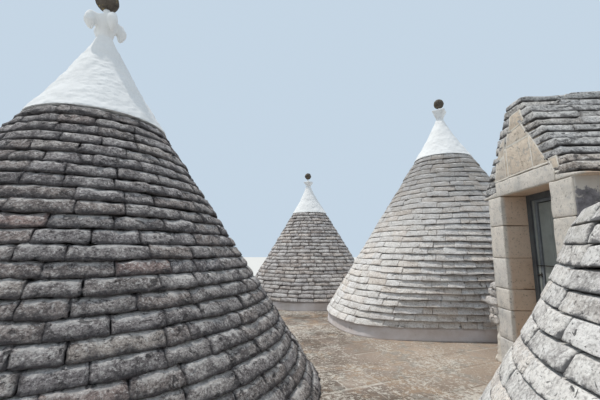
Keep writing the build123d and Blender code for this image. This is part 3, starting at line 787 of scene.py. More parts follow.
def coneBall(name, look, place, material):
    # a rough stone ball
    tip = look["tip"]
    edit = bmesh.new()
    bmesh.ops.create_icosphere(edit, subdivisions=5, radius=tip["ballRadius"])
    mesh = meshFrom(edit, name)
    level = tip["ballLevel"] + terraceLevel
    mesh.transform(Matrix.Translation((place["x"] + leanAt(tip, place, level), place["y"], level)))
    mesh.shade_smooth()
    dented(mesh, 0.006, 16.0, look["seed"])
    settle(newPiece(name + "_stone_ball", mesh, material), "ball_stone", name + "_ball")


def coneBand(name, look, place, material):
    # the plastered foot under the lowest course
    sides, form = 144, bandForm
    flatness = flatnessOf(look)
    rings = []
    for inset, rise in form["outline"]:
        radius = look["footRadius"] - inset
        ring = []
        for side in range(sides):
            turn = math.tau * side / sides
            reach = radius * (planFactor(turn, flatness) if flatness < roundAtCap else 1)
            level = terraceLevel + (place["foot"] - terraceLevel) * rise
            x, y = place["x"] + reach * math.cos(turn), place["y"] + reach * math.sin(turn)
            ring.append(Vector((x, y, level)))
        rings.append(ring)
    mesh = ringMesh(name, rings)
    mesh.shade_smooth()
    dented(mesh, form["dent"], 1.5, look["seed"])
    settle(newPiece(name + "_foot", mesh, material), "limewash", name + "_band")


bandForm = {
    # (inset, share of the height), from the foot up
    "outline": [(0.6, 0.0), (0.016, 0.0), (0.02, 0.1), (0.032, 0.3), (0.04, 0.55), (0.045, 0.8),
                (0.05, 0.98), (0.6, 0.99)],
    "dent": 0.012,
}

thinStone = {
    "bedding": 1.7, "lichenCover": 0.45, "grainScale": 40, "scoopScale": 9.0, "scoopLevel": 0.37,
    "breakScale": 11.0, "depth": 0.035,
}
stoneLooks = {
    "left_cone": {
        "tones": [(0.0, (0.31, 0.288, 0.283)), (0.5, (0.38, 0.352, 0.345)), (0.85, (0.44, 0.41, 0.395)),
                  (1.0, (0.51, 0.48, 0.455))],
        "tints": [(0.0, (0.99, 0.99, 1.02)), (0.5, (1, 1, 1)), (0.85, (1.03, 0.98, 0.94)),
                  (0.95, (1.03, 0.96, 0.92)), (0.985, (1.08, 0.88, 0.83))],
        "bedding": 1.7, "cloudScale": 9.0, "cloud": (0.50, 0.49, 0.50),
        "lichenScale": 24.0, "lichenCover": 0.46, "lichenStrength": 0.6, "lichenColour": (0.80, 0.78, 0.76),
        "grainScale": 55, "grainStrength": 0.95, "grainColour": (0.28, 0.27, 0.28),
        "speckStrength": 0.85, "speckColour": (0.90, 0.885, 0.865),
        "scoopScale": 8.0, "scoopLevel": 0.40, "scoopDarkness": 0.75, "pitColour": (0.06, 0.057, 0.06),
        "dirt": 0.8, "dirtRise": 0.55, "dirtColour": (0.08, 0.075, 0.08), "breakScale": 10.0, "relief": 1.0,
        "depth": 0.06,
        "rim": 0.55,
    },
    "back_cone": {
        "tones": [(0.0, (0.42, 0.395, 0.385)), (0.5, (0.52, 0.495, 0.48)), (1.0, (0.62, 0.595, 0.57))],
        "tints": [(0.0, (0.99, 0.99, 1.01)), (0.5, (1, 1, 1)), (0.85, (1.03, 0.98, 0.94)),
                  (1.0, (1.03, 0.95, 0.89))],
        **thinStone, "cloudScale": 7.0, "cloud": (0.66, 0.64, 0.64),
        "lichenScale": 16.0, "lichenStrength": 0.6, "lichenColour": (0.78, 0.76, 0.74),
        "grainStrength": 0.8, "grainColour": (0.42, 0.40, 0.39),
        "speckStrength": 0.6, "speckColour": (0.86, 0.85, 0.83),
        "scoopDarkness": 0.6, "pitColour": (0.10, 0.085, 0.08),
        "dirt": 0.9, "dirtRise": 0.5, "dirtColour": (0.13, 0.11, 0.10), "relief": 0.9,
        "depth": 0.035,
        "rim": 0.5,
    },
    "right_cone": {
        "tones": [(0.0, (0.78, 0.755, 0.72)), (0.5, (0.85, 0.83, 0.80)), (1.0, (0.91, 0.89, 0.86))],
        "tints": [(0.0, (0.99, 0.99, 1.01)), (0.5, (1, 1, 1)), (0.85, (1.02, 0.98, 0.95)),
                  (1.0, (1.02, 0.96, 0.91))],
        **thinStone, "cloudScale": 6.0, "cloud": (0.80, 0.78, 0.765),
        "lichenScale": 14.0, "lichenStrength": 0.5, "lichenColour": (0.90, 0.885, 0.865),
        "grainStrength": 0.75, "grainColour": (0.62, 0.60, 0.575),
        "speckStrength": 0.5, "speckColour": (0.92, 0.91, 0.89),
        "fade": (0.46, 0.46, 0.465), "fadeLevels": (4.6, 7.0),
        "scoopDarkness": 0.7, "pitColour": (0.16, 0.14, 0.12),
        "dirt": 0.35, "dirtRise": 0.24, "dirtColour": (0.38, 0.32, 0.27), "breakScale": 11.0, "relief": 0.8,
        "depth": 0.035,
        "rim": 0.4,
    },
    "near_cone": {
        "tones": [(0.0, (0.72, 0.695, 0.66)), (0.5, (0.81, 0.785, 0.745)), (1.0, (0.89, 0.86, 0.815))],
        "tints": [(0.0, (0.98, 0.99, 1.01)), (0.6, (1, 1, 1)), (0.9, (1.02, 0.98, 0.95)),
                  (1.0, (1.02, 0.95, 0.90))],
        "bedding": 1.4, "cloudScale": 6.0, "cloud": (0.64, 0.63, 0.635),
        "lichenScale": 17.0, "lichenCover": 0.50, "lichenStrength": 0.7, "lichenColour": (0.90, 0.885, 0.86),
        "grainScale": 48, "grainStrength": 0.8, "grainColour": (0.48, 0.47, 0.47),
        "speckStrength": 0.5, "speckColour": (0.92, 0.91, 0.89),
        "scoopScale": 22.0, "scoopLevel": 0.375, "scoopDarkness": 0.9, "pitColour": (0.09, 0.09, 0.09),
        "dirt": 0.9, "dirtRise": 0.16, "dirtColour": (0.13, 0.13, 0.135), "breakScale": 8.0, "relief": 0.8,
        "depth": 0.03,
        "fade": (0.70, 0.69, 0.67), "fadeLevels": (5.05, 5.5), "rim": 0.0,
    },
}

washLooks = {
    "tip": {"white": (0.84, 0.85, 0.85), "shade": (0.78, 0.79, 0.79), "fleckScale": 9.0, "fleckCover": 0.32,
            "fleckColour": (0.42, 0.42, 0.40), "relief": 0.2},
    "foot": {"white": (0.76, 0.73, 0.74), "shade": (0.54, 0.47, 0.43), "fleckScale": 5.0, "fleckCover": 0.36,
             "fleckColour": (0.42, 0.36, 0.32), "relief": 0.35},
    "wall": {"white": (0.80, 0.79, 0.76), "shade": (0.71, 0.69, 0.66), "fleckScale": 3.0, "fleckCover": 0.34,
             "fleckColour": (0.48, 0.45, 0.41), "relief": 0.5},
    "mortar": {"white": (0.82, 0.77, 0.69), "shade": (0.72, 0.67, 0.59), "fleckScale": 12.0,
               "fleckCover": 0.4, "fleckColour": (0.42, 0.38, 0.33), "relief": 0.7},
}


def ballStone():
    material, graph, shader, where = newMaterial("ballStone", 0.9)
    patches = graph.noise(where, 9, 6, 0.7)
    colour = ramp(graph, patches, [(0.3, (0.05, 0.042, 0.036)), (0.6, (0.13, 0.11, 0.09))])
    lichen = graph.noise(where, 15, 5, 0.7, 0.3)
    colour = blend(graph, step(graph, lichen, 0.58, 0.68, 0, 0.7), colour, (0.42, 0.30, 0.08))
    pale = step(graph, graph.noise(where, 22, 5), 0.6, 0.68, 0, 0.6)
    colour = blend(graph, pale, colour, (0.3, 0.29, 0.27))
    coat(graph, shader, colour, graph.noise(where, 35, 8, 0.7), 0.8, 0.02)
    return material


courseTree = corbelledCourses()
wornBlank = stoneBlank("wornBlank", [-1, -0.94, -0.8, -0.5, -0.17, 0.17, 0.5, 0.8, 0.94, 1],
                       [-1, -0.82, -0.5, 0.1, 0.6, 1])
crispBlank = stoneBlank("crispBlank", [-1, -0.965, -0.91, -0.35, 0.35, 0.91, 0.965, 1],
                        [-1, -0.94, -0.86, -0.2, 0.45, 0.84, 0.94, 1])
fill = jointFill()
tipWash = limewash("tipWash", washLooks["tip"])
footWash = limewash("footWash", washLooks["foot"])
ballMaterial = ballStone()

for name, look in coneLooks.items():
    place = conePlace(name)
    piece = newPiece(name + "_stones", core(name, look, place), fill)
    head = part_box("stair_head_jambs")[0]
    grown(piece, courseTree, {
        "ledgeShare": 1.0, "ledgeReach": 0.0, **look,
        "centre": (place["x"], place["y"], 0.0), "footLevel": place["foot"], "capLevel": place["cap"],
        "flatness": flatnessOf(look),
        "keepOutX": head[0] if name == "near_cone" else farAway, "keepOutY": head[1],
        "blank": crispBlank if look["crisp"] else wornBlank,
        "stone": roughStone(name + "Stone", stoneLooks[name]),
    })
    settle(piece, look["slot"], name + "_courses")
    coneTip(name, look, place, tipWash)
    coneBall(name, look, place, ballMaterial)
    if place["foot"] > terraceLevel + 0.01:
        coneBand(name, look, place, footWash)
    print(name, "stones", len(piece.data.polygons), "faces")


# Dressed stones

def boxGrid(edit, xs, ys, zs, place):
    # a closed box of faces between these lines, each corner put where place says
    lines, corners = (xs, ys, zs), {}

    def corner(key):
        if key not in corners:
            corners[key] = edit.verts.new(place(*(axis[rank] for axis, rank in zip(lines, key))))
        return corners[key]

    for axis in range(3):
        second, third = (axis + 1) % 3, (axis + 2) % 3
        for side in (0, len(lines[axis]) - 1):
            for a in range(len(lines[second]) - 1):
                for b in range(len(lines[third]) - 1):
                    quad = []
                    for da, db in ((0, 0), (1, 0), (1, 1), (0, 1)):
                        key = [0, 0, 0]
                        key[axis], key[second], key[third] = side, a + da, b + db
                        quad.append(corner(tuple(key)))
                    edit.faces.new(quad if side else quad[::-1])
    return list(corners.values())


def blockBlank():
    # a box two units each way, finer towards its edges
    edit = bmesh.new()
    lines = [[-1, -0.95, -0.75, -0.25, 0.25, 0.75, 0.95, 1], [-1, -0.92, 0, 0.92, 1], [-1, -0.8, 0, 0.8, 1]]
    boxGrid(edit, *lines, lambda x, y, z: (x, y, z))
    return bpy.data.objects.new("blockBlank", meshFrom(edit, "blockBlank"))


def gridLines(length, edge, cell):
    # from 0 to length, with two extra lines inside each rounded edge
    edge = min(edge, length / 3)
    count = max(1, round((length - 2 * edge) / cell))
    inner = [edge + (length - 2 * edge) * rank / count for rank in range(count + 1)]
    return [0, edge * 0.35, *inner, length - edge * 0.35, length]


def softened(x, y, z, size, edge):
    # moves a point on a box's face onto its rounded edge
    inner = Vector([min(max(v, min(edge, s / 3)), s - min(edge, s / 3)) for v, s in zip((x, y, z), size)])
    offset = Vector((x, y, z)) - inner
    return inner + offset.normalized() * min(edge, min(size) / 3) if offset.length > 1e-6 else inner


def boxPlace(low, high):
    low, high = Vector(low), Vector(high)
    return high - low, lambda share: low + Vector([a * b for a, b in zip(high - low, share)])


def quadPlace(corners, front, back):
    # corners are (y, z) from the bottom near one round, on planes across X
    a, b, c, d = (Vector(corner) for corner in corners)
    width, height = ((b - a).length + (c - d).length) / 2, ((d - a).length + (c - b).length) / 2
    size = Vector((back - front, width, height))

    def place(share):
        spot = (a * (1 - share.y) + b * share.y) * (1 - share.z) + (d * (1 - share.y) + c * share.y) * share.z
        return Vector((front + (back - front) * share.x, spot.x, spot.y))

    return size, place


def dressedStones(name, places, look, material):
    # one mesh of worn blocks, each with its own tone
    edit = bmesh.new()
    tone, cast, rise = (edit.verts.layers.float.new(own) for own in ("stoneTone", "stoneCast", "stoneRise"))
    edge = look["edge"]
    for number, (size, place) in enumerate(places):
        shift = Vector((number * 3.7 + look["seed"], 0, number * 1.3))
        corners = boxGrid(
            edit, *(gridLines(length, edge, look["cell"]) for length in size),
            lambda x, y, z: place(Vector([a / b for a, b in zip(softened(x, y, z, size, edge), size)])))
        for corner in corners:
            corner[tone] = noise.noise(shift) * 0.9 + 0.5
            corner[cast] = noise.noise(shift * 1.7 + Vector((0, 5, 0))) * 0.9 + 0.5
            # stoneRise is 1 all over, so roughStone paints the whole block with the highlight of a stone's
            # top and none of the shade of its foot
            corner[rise] = 1.0
    mesh = meshFrom(edit, name, True)
    mesh.shade_smooth()
    dented(mesh, look["dent"], look["dentScale"], look["seed"])
    return newPiece(name, mesh, material)


def lay(name, places, look, material, slot, *nodes):
    settle(dressedStones(name, places, look, material), slot, *nodes)


def blockRows():
    # straight rows of blocks, each row set up and back from the one before
    floats = ["Turn", "Length", "Run", "Rise", "Block Length", "Spread", "Depth", "Height", "Joint",
              "Bed Joint", "Edge", "Lean", "Climb", "Set Back", "Lump"]
    others = {"Start": "Vector", "Rows": "Int", "Seed": "Int", "Blank": "Object", "Stone": "Material"}
    graph, given, size = newTree("blockRows", floats, others)
    count = (size["Length"] / size["Block Length"]).via("ROUND")
    points, turn, row = rowPoints(graph, size, count + 1)

    def jointAt(number):
        place = number - row % 2 / 2
        inside = place.via("GREATER_THAN", 0.1) * place.via("LESS_THAN", count - 0.1)
        wander = graph.chance(-0.5, 0.5, row * blocksPerRow + number, size["Seed"]) * size["Spread"] * 2
        return ((place + wander * inside) / count).via("MAXIMUM", 0.0).via("MINIMUM", 1.0) * size["Length"]

    points = graph.store(points, {
        "from": jointAt(turn), "to": jointAt(turn + 1),
        **drawn(graph, size, row * blocksPerRow + turn, push=(-1.0, 2), lift=(0.0, 3))})
    span = graph.stored("to") - graph.stored("from")
    short = span.via("LESS_THAN", shortestBlock)
    points = graph.get("GeometryNodeDeleteGeometry", {"Geometry": points, "Selection": short})
    blocks = laidOut(graph, points, size)

    # a box with rounded edges, then put in its place in the row
    spots = graph.split(graph.get("GeometryNodeInputPosition"))
    lift = graph.stored("lift")
    # stoneRise: the height in the block, from which roughStone paints a highlight along its top and shade
    # along its foot
    blocks = graph.store(blocks, {"stoneRise": (spots[2] + 1) / 2})
    box = [span - size["Joint"], size["Depth"], size["Height"] - size["Bed Joint"] * lift]
    spots = [(spot + 1) / 2 * side for spot, side in zip(spots, box)]
    inner = [spot.via("MAXIMUM", size["Edge"]).via("MINIMUM", side - size["Edge"])
             for spot, side in zip(spots, box)]
    over = [spot - centre for spot, centre in zip(spots, inner)]
    away = (over[0] * over[0] + over[1] * over[1] + over[2] * over[2]).via("SQRT").via("MAXIMUM", 0.00001)
    x, y, z = (centre + part * size["Edge"] / away for centre, part in zip(inner, over))
    x = x + graph.stored("from") + size["Joint"] / 2
    y = y + row * size["Run"] + graph.stored("push") * size["Set Back"] + z * size["Lean"]
    z = z + row * size["Rise"] + x * size["Climb"]
    place = graph.vector("ADD", graph.turned(x, y, z, size["Turn"]), size["Start"])
    blocks = graph.get("GeometryNodeSetPosition", {"Geometry": blocks, "Position": place})
    blocks = lumpy(graph, blocks, size["Lump"], 8.0, 0.6)
    blocks = lumpy(graph, blocks, size["Lump"] * 0.5, 21.0, 0.5)
    return closeTree(graph, given, blocks, size)


blocksPerRow = 499      # keeps the blocks of two rows apart in the random draws
shortestBlock = 0.04
rowTree = blockRows()
block = blockBlank()


def rowOfBlocks(name, backing, start, turn, look, material):
    values = {"climb": 0.0, **look, "start": start, "turn": math.radians(turn)}
    return grown(newPiece(name, backing), rowTree, {**values, "blank": block, "stone": material})


# Stair head

def headSizes():
    # the stair head's planes and levels, from its CAD nodes
    jambs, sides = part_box("stair_head_jambs"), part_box("stair_head_side_walls")
    lintel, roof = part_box("stair_head_lintel"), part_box("stair_head_near_roof")
    far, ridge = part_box("stair_head_far_roof"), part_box("stair_head_ridge")
    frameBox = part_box("terrace_door_frame")
    return {
        "front": jambs[0][0], "jambBack": jambs[1][0], "near": jambs[0][1], "far": jambs[1][1],
        "doorNear": frameBox[0][1], "doorFar": frameBox[1][1], "doorTop": jambs[1][2], "eaves": sides[1][2],
        "lintelNear": lintel[0][1], "lintelFar": lintel[1][1], "lintelTop": lintel[1][2],
        "rear": roof[1][0], "nearEaves": roof[0][1], "farEaves": far[1][1], "ridge": ridge[0][2],
        "middle": (ridge[0][1] + ridge[1][1]) / 2, "ridgeHalf": (ridge[1][1] - ridge[0][1]) / 2,
    }


head = headSizes()

ashlarLook = {
    "edge": 0.014, "cell": 0.08, "dent": 0.006, "dentScale": 6.0, "seed": 3, "joint": 0.006,
    # joints of the jambs, above the terrace
    "nearJoints": [0.0, 0.5, 0.98, 1.45, 1.93], "farJoints": [0.0, 0.38, 0.78, 1.06, 1.475, 1.92],
    # the gable's stones: (y, z above the terrace) from the bottom near corner round
    "gable": [
        [(-1.767, 2.565), (-1.26, 2.56), (-1.26, 2.955), (-1.743, 2.965)],
        [(-2.02, 2.56), (-1.775, 2.56), (-1.752, 2.96), (-1.765, 2.96)],
        [(-1.737, 2.98), (-1.266, 2.972), (-1.331, 3.134), (-1.615, 3.17)],
        [(-1.682, 3.185), (-1.36, 3.15), (-1.42, 3.34), (-1.62, 3.35)],
        [(-1.25, 2.56), (-1.207, 2.556), (-1.212, 2.93), (-1.25, 2.95)],
        [(-1.195, 2.556), (-0.93, 2.553), (-1.0, 2.80), (-1.2, 2.85)],
        [(-1.2, 2.87), (-1.02, 2.82), (-1.129, 3.03), (-1.24, 3.1)],
        [(-2.19, 2.43), (-2.11, 2.43), (-2.04, 2.59), (-2.16, 2.59)],
    ],
    "gableDepth": 0.2, "mortarWidth": 0.016, "mortarProud": 0.001, "mortarDepth": 0.15,
    "behindPlaster": 0.008,
}


def jointStrips(corners, width, front, back):
    # strips of mortar along the edges of a stone's face
    middle = sum((Vector(corner) for corner in corners), Vector((0, 0))) / len(corners)
    outer = [Vector(corner) + (Vector(corner) - middle).normalized() * width for corner in corners]
    inner = [Vector(corner) - (Vector(corner) - middle).normalized() * width * 0.7 for corner in corners]
    strips = ([outer[side - 1], outer[side], inner[side], inner[side - 1]] for side in range(4))
    return [quadPlace(strip, front, back) for strip in strips]


def stairHeadStones(material, gableMaterial, mortar):
    look, gap = ashlarLook, ashlarLook["joint"] / 2
    front, back = head["front"], head["jambBack"]
    jambs = []
    hidden = look["behindPlaster"]
    for joints, near, far in ((look["nearJoints"], head["near"] + hidden, head["doorNear"]),
                              (look["farJoints"], head["doorFar"], head["far"] - hidden)):
        levels = [level + terraceLevel for level in joints] + [head["doorTop"]]
        for low, high in zip(levels, levels[1:]):
            jambs.append(boxPlace((front, near, low + gap), (back, far, high - gap)))
    lay("stair_head_jamb_stones", jambs, look, material, "ashlar", "stair_head_jambs")
    lintel = boxPlace((front, head["lintelNear"], head["doorTop"] + 0.001),
                      (back, head["lintelFar"], head["lintelTop"]))
    lay("stair_head_lintel_stone", [lintel], look, material, "ashlar", "stair_head_lintel")

    low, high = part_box("stair_head_kneelers")
    points = []
    for inner, tip in ((head["lintelNear"], low[1]), (head["lintelFar"], high[1])):
        middle = low[2] + (high[2] - low[2]) * 0.5
        corners = [(inner, low[2]), (tip, low[2] + 0.004), (tip, middle), (inner, high[2] + 0.03)]
        points.append(quadPlace(corners, front, back))
    lay("stair_head_kneeler_stones", points, look, material, "ashlar", "stair_head_kneelers")

    gable, beds = [], []
    for corners in look["gable"]:
        corners = [(y, z + terraceLevel) for y, z in corners]
        gable.append(quadPlace(corners, front, front + look["gableDepth"]))
        planes = front - look["mortarProud"], front + look["mortarDepth"]
        beds += jointStrips(corners, look["mortarWidth"], *planes)
    lay("stair_head_gable_stones", gable, look, gableMaterial, "ashlar", "stair_head_gable")
    mortarLook = {**look, "edge": 0.005, "cell": 0.1, "dent": 0.003}
    lay("stair_head_gable_mortar", beds, mortarLook, mortar, "limewash")
    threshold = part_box("stair_head_threshold")
    lay("stair_head_step", [boxPlace(*threshold)], look, material, "ashlar", "stair_head_threshold")


roofLook = {
    "rows": 10, "blockLength": 0.62, "spread": 0.32, "depth": 0.30, "joint": 0.006, "bedJoint": 0.022,
    "edge": 0.011, "lean": 0.55, "setBack": 0.016, "lump": 0.036, "seed": 61, "backing": 0.10,
}
ridgeLook = {
    "rows": 1, "run": 0, "rise": 0, "blockLength": 0.56, "spread": 0.3, "depth": 0.33, "height": 0.08,
    "joint": 0.008, "bedJoint": 0.02, "edge": 0.016, "lean": 0.0, "setBack": 0.01, "lump": 0.035, "seed": 67,
    "climb": 0.03, "sunk": 0.008,
    "upper": {"start": 3.13, "height": 0.055, "depth": 0.26, "seed": 71, "sunk": 0.02},
}


def roofCore(side):
    # the bed of the slabs: a wedge from the vault up to just under them
    eaves = head["nearEaves"] if side < 0 else head["farEaves"]
    wall = head["doorNear"] if side < 0 else head["doorFar"]
    inset, rise = roofLook["backing"], head["ridge"] - head["eaves"]
    outline = [(wall, head["eaves"]), (eaves - side * inset * 1.5, head["eaves"] + 0.02),
               (head["middle"] + side * 0.06, head["ridge"] - 0.04), (head["middle"], head["ridge"] - 0.04),
               (head["middle"], head["eaves"] + rise * 0.65)]
    edit = bmesh.new()
    ends = (head["front"] + 0.014, head["rear"] - 0.014)
    loops = [[edit.verts.new((x, y, z)) for y, z in outline] for x in ends]
    for corner in range(len(outline)):
        edit.faces.new((loops[0][corner - 1], loops[0][corner], loops[1][corner], loops[1][corner - 1]))
    edit.faces.new(loops[0])
    edit.faces.new(loops[1])
    return meshFrom(edit, "roofCore", True)


def stairHeadRoof(stone, mortar):
    length, rows = head["rear"] - head["front"], roofLook["rows"]
    rise = (head["ridge"] - head["eaves"]) / rows
    run = (head["middle"] - head["ridgeHalf"] - head["nearEaves"]) / rows
    look = {**roofLook, "length": length, "run": run, "rise": rise, "height": rise}
    for name, side in (("near", -1), ("far", 1)):
        core = roofCore(side)
        core.materials.append(mortar)
        start = (head["front"], head["nearEaves"], head["eaves"]) if side < 0 else \
            (head["rear"], head["farEaves"], head["eaves"])
        look["seed"] = roofLook["seed"] + side
        piece = rowOfBlocks(f"stair_head_{name}_slabs", core, start, 0 if side < 0 else 180, look, stone)
        settle(piece, "grey_stone", f"stair_head_{name}_roof")
    look = {**ridgeLook, "length": length}
    empty = bpy.data.meshes.new("ridge")
    start = (head["front"], head["middle"] - head["ridgeHalf"], head["ridge"] - ridgeLook["sunk"])
    lower = rowOfBlocks("stair_head_ridge_slabs", empty, start, 0, look, stone)
    settle(lower, "grey_stone", "stair_head_ridge")
    above = ridgeLook["upper"]
    level = head["ridge"] + ridgeLook["height"] + ridgeLook["climb"] * (above["start"] - head["front"])
    start = (above["start"], head["middle"] - above["depth"] / 2, level - above["sunk"])
    look = {**ridgeLook, "length": head["rear"] - above["start"]}
    look.update((key, above[key]) for key in ("height", "depth", "seed"))
    upper = rowOfBlocks("stair_head_ridge_upper", bpy.data.meshes.new("ridgeUpper"), start, 0, look, stone)
    settle(upper, "grey_stone")


plasterLook = {
    "edge": 0.012, "cell": 0.09, "dent": 0.012, "dentScale": 3.0, "seed": 29,
    "thickness": 0.03, "proud": 0.005, "behindFront": 0.018, "belowEaves": 0.002,
}


def sidePlaster(material):
    # the render on the stair head's long sides, over the backs of the jambs
    low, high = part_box("stair_head_side_walls")
    start, end = head["front"] + plasterLook["behindFront"], head["rear"]
    top = high[2] - plasterLook["belowEaves"]
    sides = []
    for plane, way in ((head["near"], 1), (head["far"], -1)):
        across = sorted((plane - way * plasterLook["proud"], plane + way * plasterLook["thickness"]))
        sides.append(boxPlace((start, across[0], low[2]), (end, across[1], top)))
    lay("stair_head_plaster", sides, plasterLook, material, "limewash")


rubbleLook = {
    "edge": 0.03, "cell": 0.05, "dent": 0.03, "dentScale": 7.0, "seed": 31,
    # rough stones between the stair head and the cone behind it: (low corner, high corner) above the terrace
    "stones": [((2.462, -0.71, 0.54), (2.80, -0.50, 0.65)), ((2.475, -0.70, 0.66), (2.82, -0.44, 0.79)),
               ((2.458, -0.71, 0.80), (2.80, -0.42, 0.90)), ((2.475, -0.70, 0.91), (2.80, -0.45, 1.01)),
               ((2.465, -0.70, 1.02), (2.78, -0.53, 1.11))],
    # the low bench along the cone's flat side: its ends, how far it stands out, its height and its top slabs
    "benchX": (2.80, 4.25), "benchReach": 0.015, "benchHeight": 0.345, "benchSlabs": 4, "slabHeight": 0.085,
    "benchInWall": 0.12, "slabGap": 0.003,
    # the mortar fillet up the front corner: its plan, and (level, reach from the jamb, depth)
    "filletPlan": [(0, 0), (1, 0), (0.9, 0.4), (0.35, 0.9), (0, 1)],
    "fillet": [(0.0, 0.20, 0.14), (0.12, 0.12, 0.10), (0.3, 0.085, 0.085), (0.55, 0.075, 0.08),
               (0.8, 0.06, 0.07), (0.92, 0.03, 0.05)],
}


def passageStones(stone, wash, mortar):
    # the toothing stones and the mortar fillet at the jamb's corner, and the low bench beside the cone
    look = rubbleLook
    lift = Vector((0, 0, terraceLevel))
    places = [boxPlace(*(Vector(corner) + lift for corner in pair)) for pair in look["stones"]]
    lay("stair_head_toothing", places, look, stone, "grey_stone")
    start, end = look["benchX"]
    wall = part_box("right_cone_band")[0][1]
    front, back = wall - look["benchReach"], wall + look["benchInWall"]
    top = terraceLevel + look["benchHeight"]
    body = boxPlace((start + 0.02, front + 0.01, terraceLevel), (end - 0.02, back, top - look["slabHeight"]))
    lay("passage_bench", [body], {**plasterLook, "edge": 0.02, "seed": 37}, wash, "limewash")
    slabs = []
    for number in range(look["benchSlabs"]):
        low, high = (start + (end - start) * (number + ahead) / look["benchSlabs"] for ahead in (0, 1))
        foot = top - look["slabHeight"] + 0.002
        slabs.append(boxPlace((low + look["slabGap"], front, foot), (high - look["slabGap"], back, top)))
    slabLook = {**look, "edge": 0.018, "dent": 0.015, "seed": 47}
    lay("passage_bench_slabs", slabs, slabLook, stone, "grey_stone")
    x, y = head["front"] + 0.008, head["far"] - 0.012
    rings = [[Vector((x + depth * a, y + reach * b, terraceLevel + level)) for a, b in look["filletPlan"]]
             for level, reach, depth in look["fillet"]]
    piece = remeshed(newPiece("stair_head_fillet", ringMesh("fillet", rings)), 0.012, 2)
    dented(piece.data, 0.012, 9.0, look["seed"])
    piece.data.materials.append(mortar)
    settle(piece, "limewash")


doorLook = {
    # the boarded leaf: a stile at each side, a sunk panel between them, and a narrow rail at head and foot
    "stile": 0.112, "rail": 0.055, "gap": 0.012, "panelDepth": 0.014, "edge": 0.005, "cell": 0.5,
    "dent": 0.0, "dentScale": 1.0, "seed": 43, "rodLevel": 1.385, "rodRadius": 0.006,
    "rodOut": 0.014, "rodShort": 0.12, "rodPast": 0.03,
    # the bead: a proud strip down the far stile in the pale board paint, its pale colour a painted highlight
    "beadWidth": 0.036, "beadInset": 0.035, "beadProud": 0.008, "beadEnd": 0.02,
    "boards": 3, "boardGap": 0.001, "railSunk": 0.004,
}


def terraceDoor(paint, palePaint, iron):
    look = doorLook
    low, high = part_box("terrace_door_leaf")
    stile, rail, sunk = look["stile"], look["rail"], look["panelDepth"]
    x0, x1, near, far, foot, top = low[0], high[0], low[1], high[1], low[2], high[2]
    behind = x0 + look["railSunk"]
    parts = [((x0, near, foot), (x1, near + stile, top)), ((x0, far - stile, foot), (x1, far, top)),
             ((behind, near + stile, foot), (x1, far - stile, foot + rail)),
             ((behind, near + stile, top - rail), (x1, far - stile, top))]
    lay("terrace_door_stiles", [boxPlace(*part) for part in parts], look, paint, "painted_timber",
           "terrace_door_leaf")
    start, end = near + stile + look["gap"], far - stile - look["gap"]
    board = (end - start) / look["boards"]
    gap = look["boardGap"]
    boards = [((x0 + sunk, start + board * number + gap, foot + rail + look["gap"]),
               (x1 - sunk, start + board * (number + 1) - gap, top - rail - look["gap"]))
              for number in range(look["boards"])]
    lay("terrace_door_boards", [boxPlace(*ends) for ends in boards], {**look, "edge": 0.003},
                         palePaint, "painted_timber")
    # a proud bead down the far stile, pale against the dark stile: a painted highlight
    side, end = far - look["beadInset"], look["beadEnd"]
    bead = boxPlace((x0 - look["beadProud"], side - look["beadWidth"], foot + end), (behind, side, top - end))
    lay("terrace_door_bead", [bead], look, palePaint, "painted_timber")
    edit = bmesh.new()
    x, level = x0 - look["rodOut"], terraceLevel + look["rodLevel"]
    ends = Vector((x, near + look["rodShort"], level)), Vector((x, far + look["rodPast"], level))
    bar(edit, *ends, look["rodRadius"], 8)
    mesh = meshFrom(edit, "doorRod", True)
    mesh.shade_smooth()
    settle(newPiece("terrace_door_rod", mesh, iron), "iron")


# Paving and coping

pavingLook = {
    "turn": 25.0, "rowWidth": 0.53, "stoneLength": 0.62, "spread": 0.3, "joint": 0.010, "thickness": 0.03,
    "edge": 0.014, "proud": 0.004, "lump": 0.006, "seed": 83, "inset": 0.05, "underCone": 0.3,
}


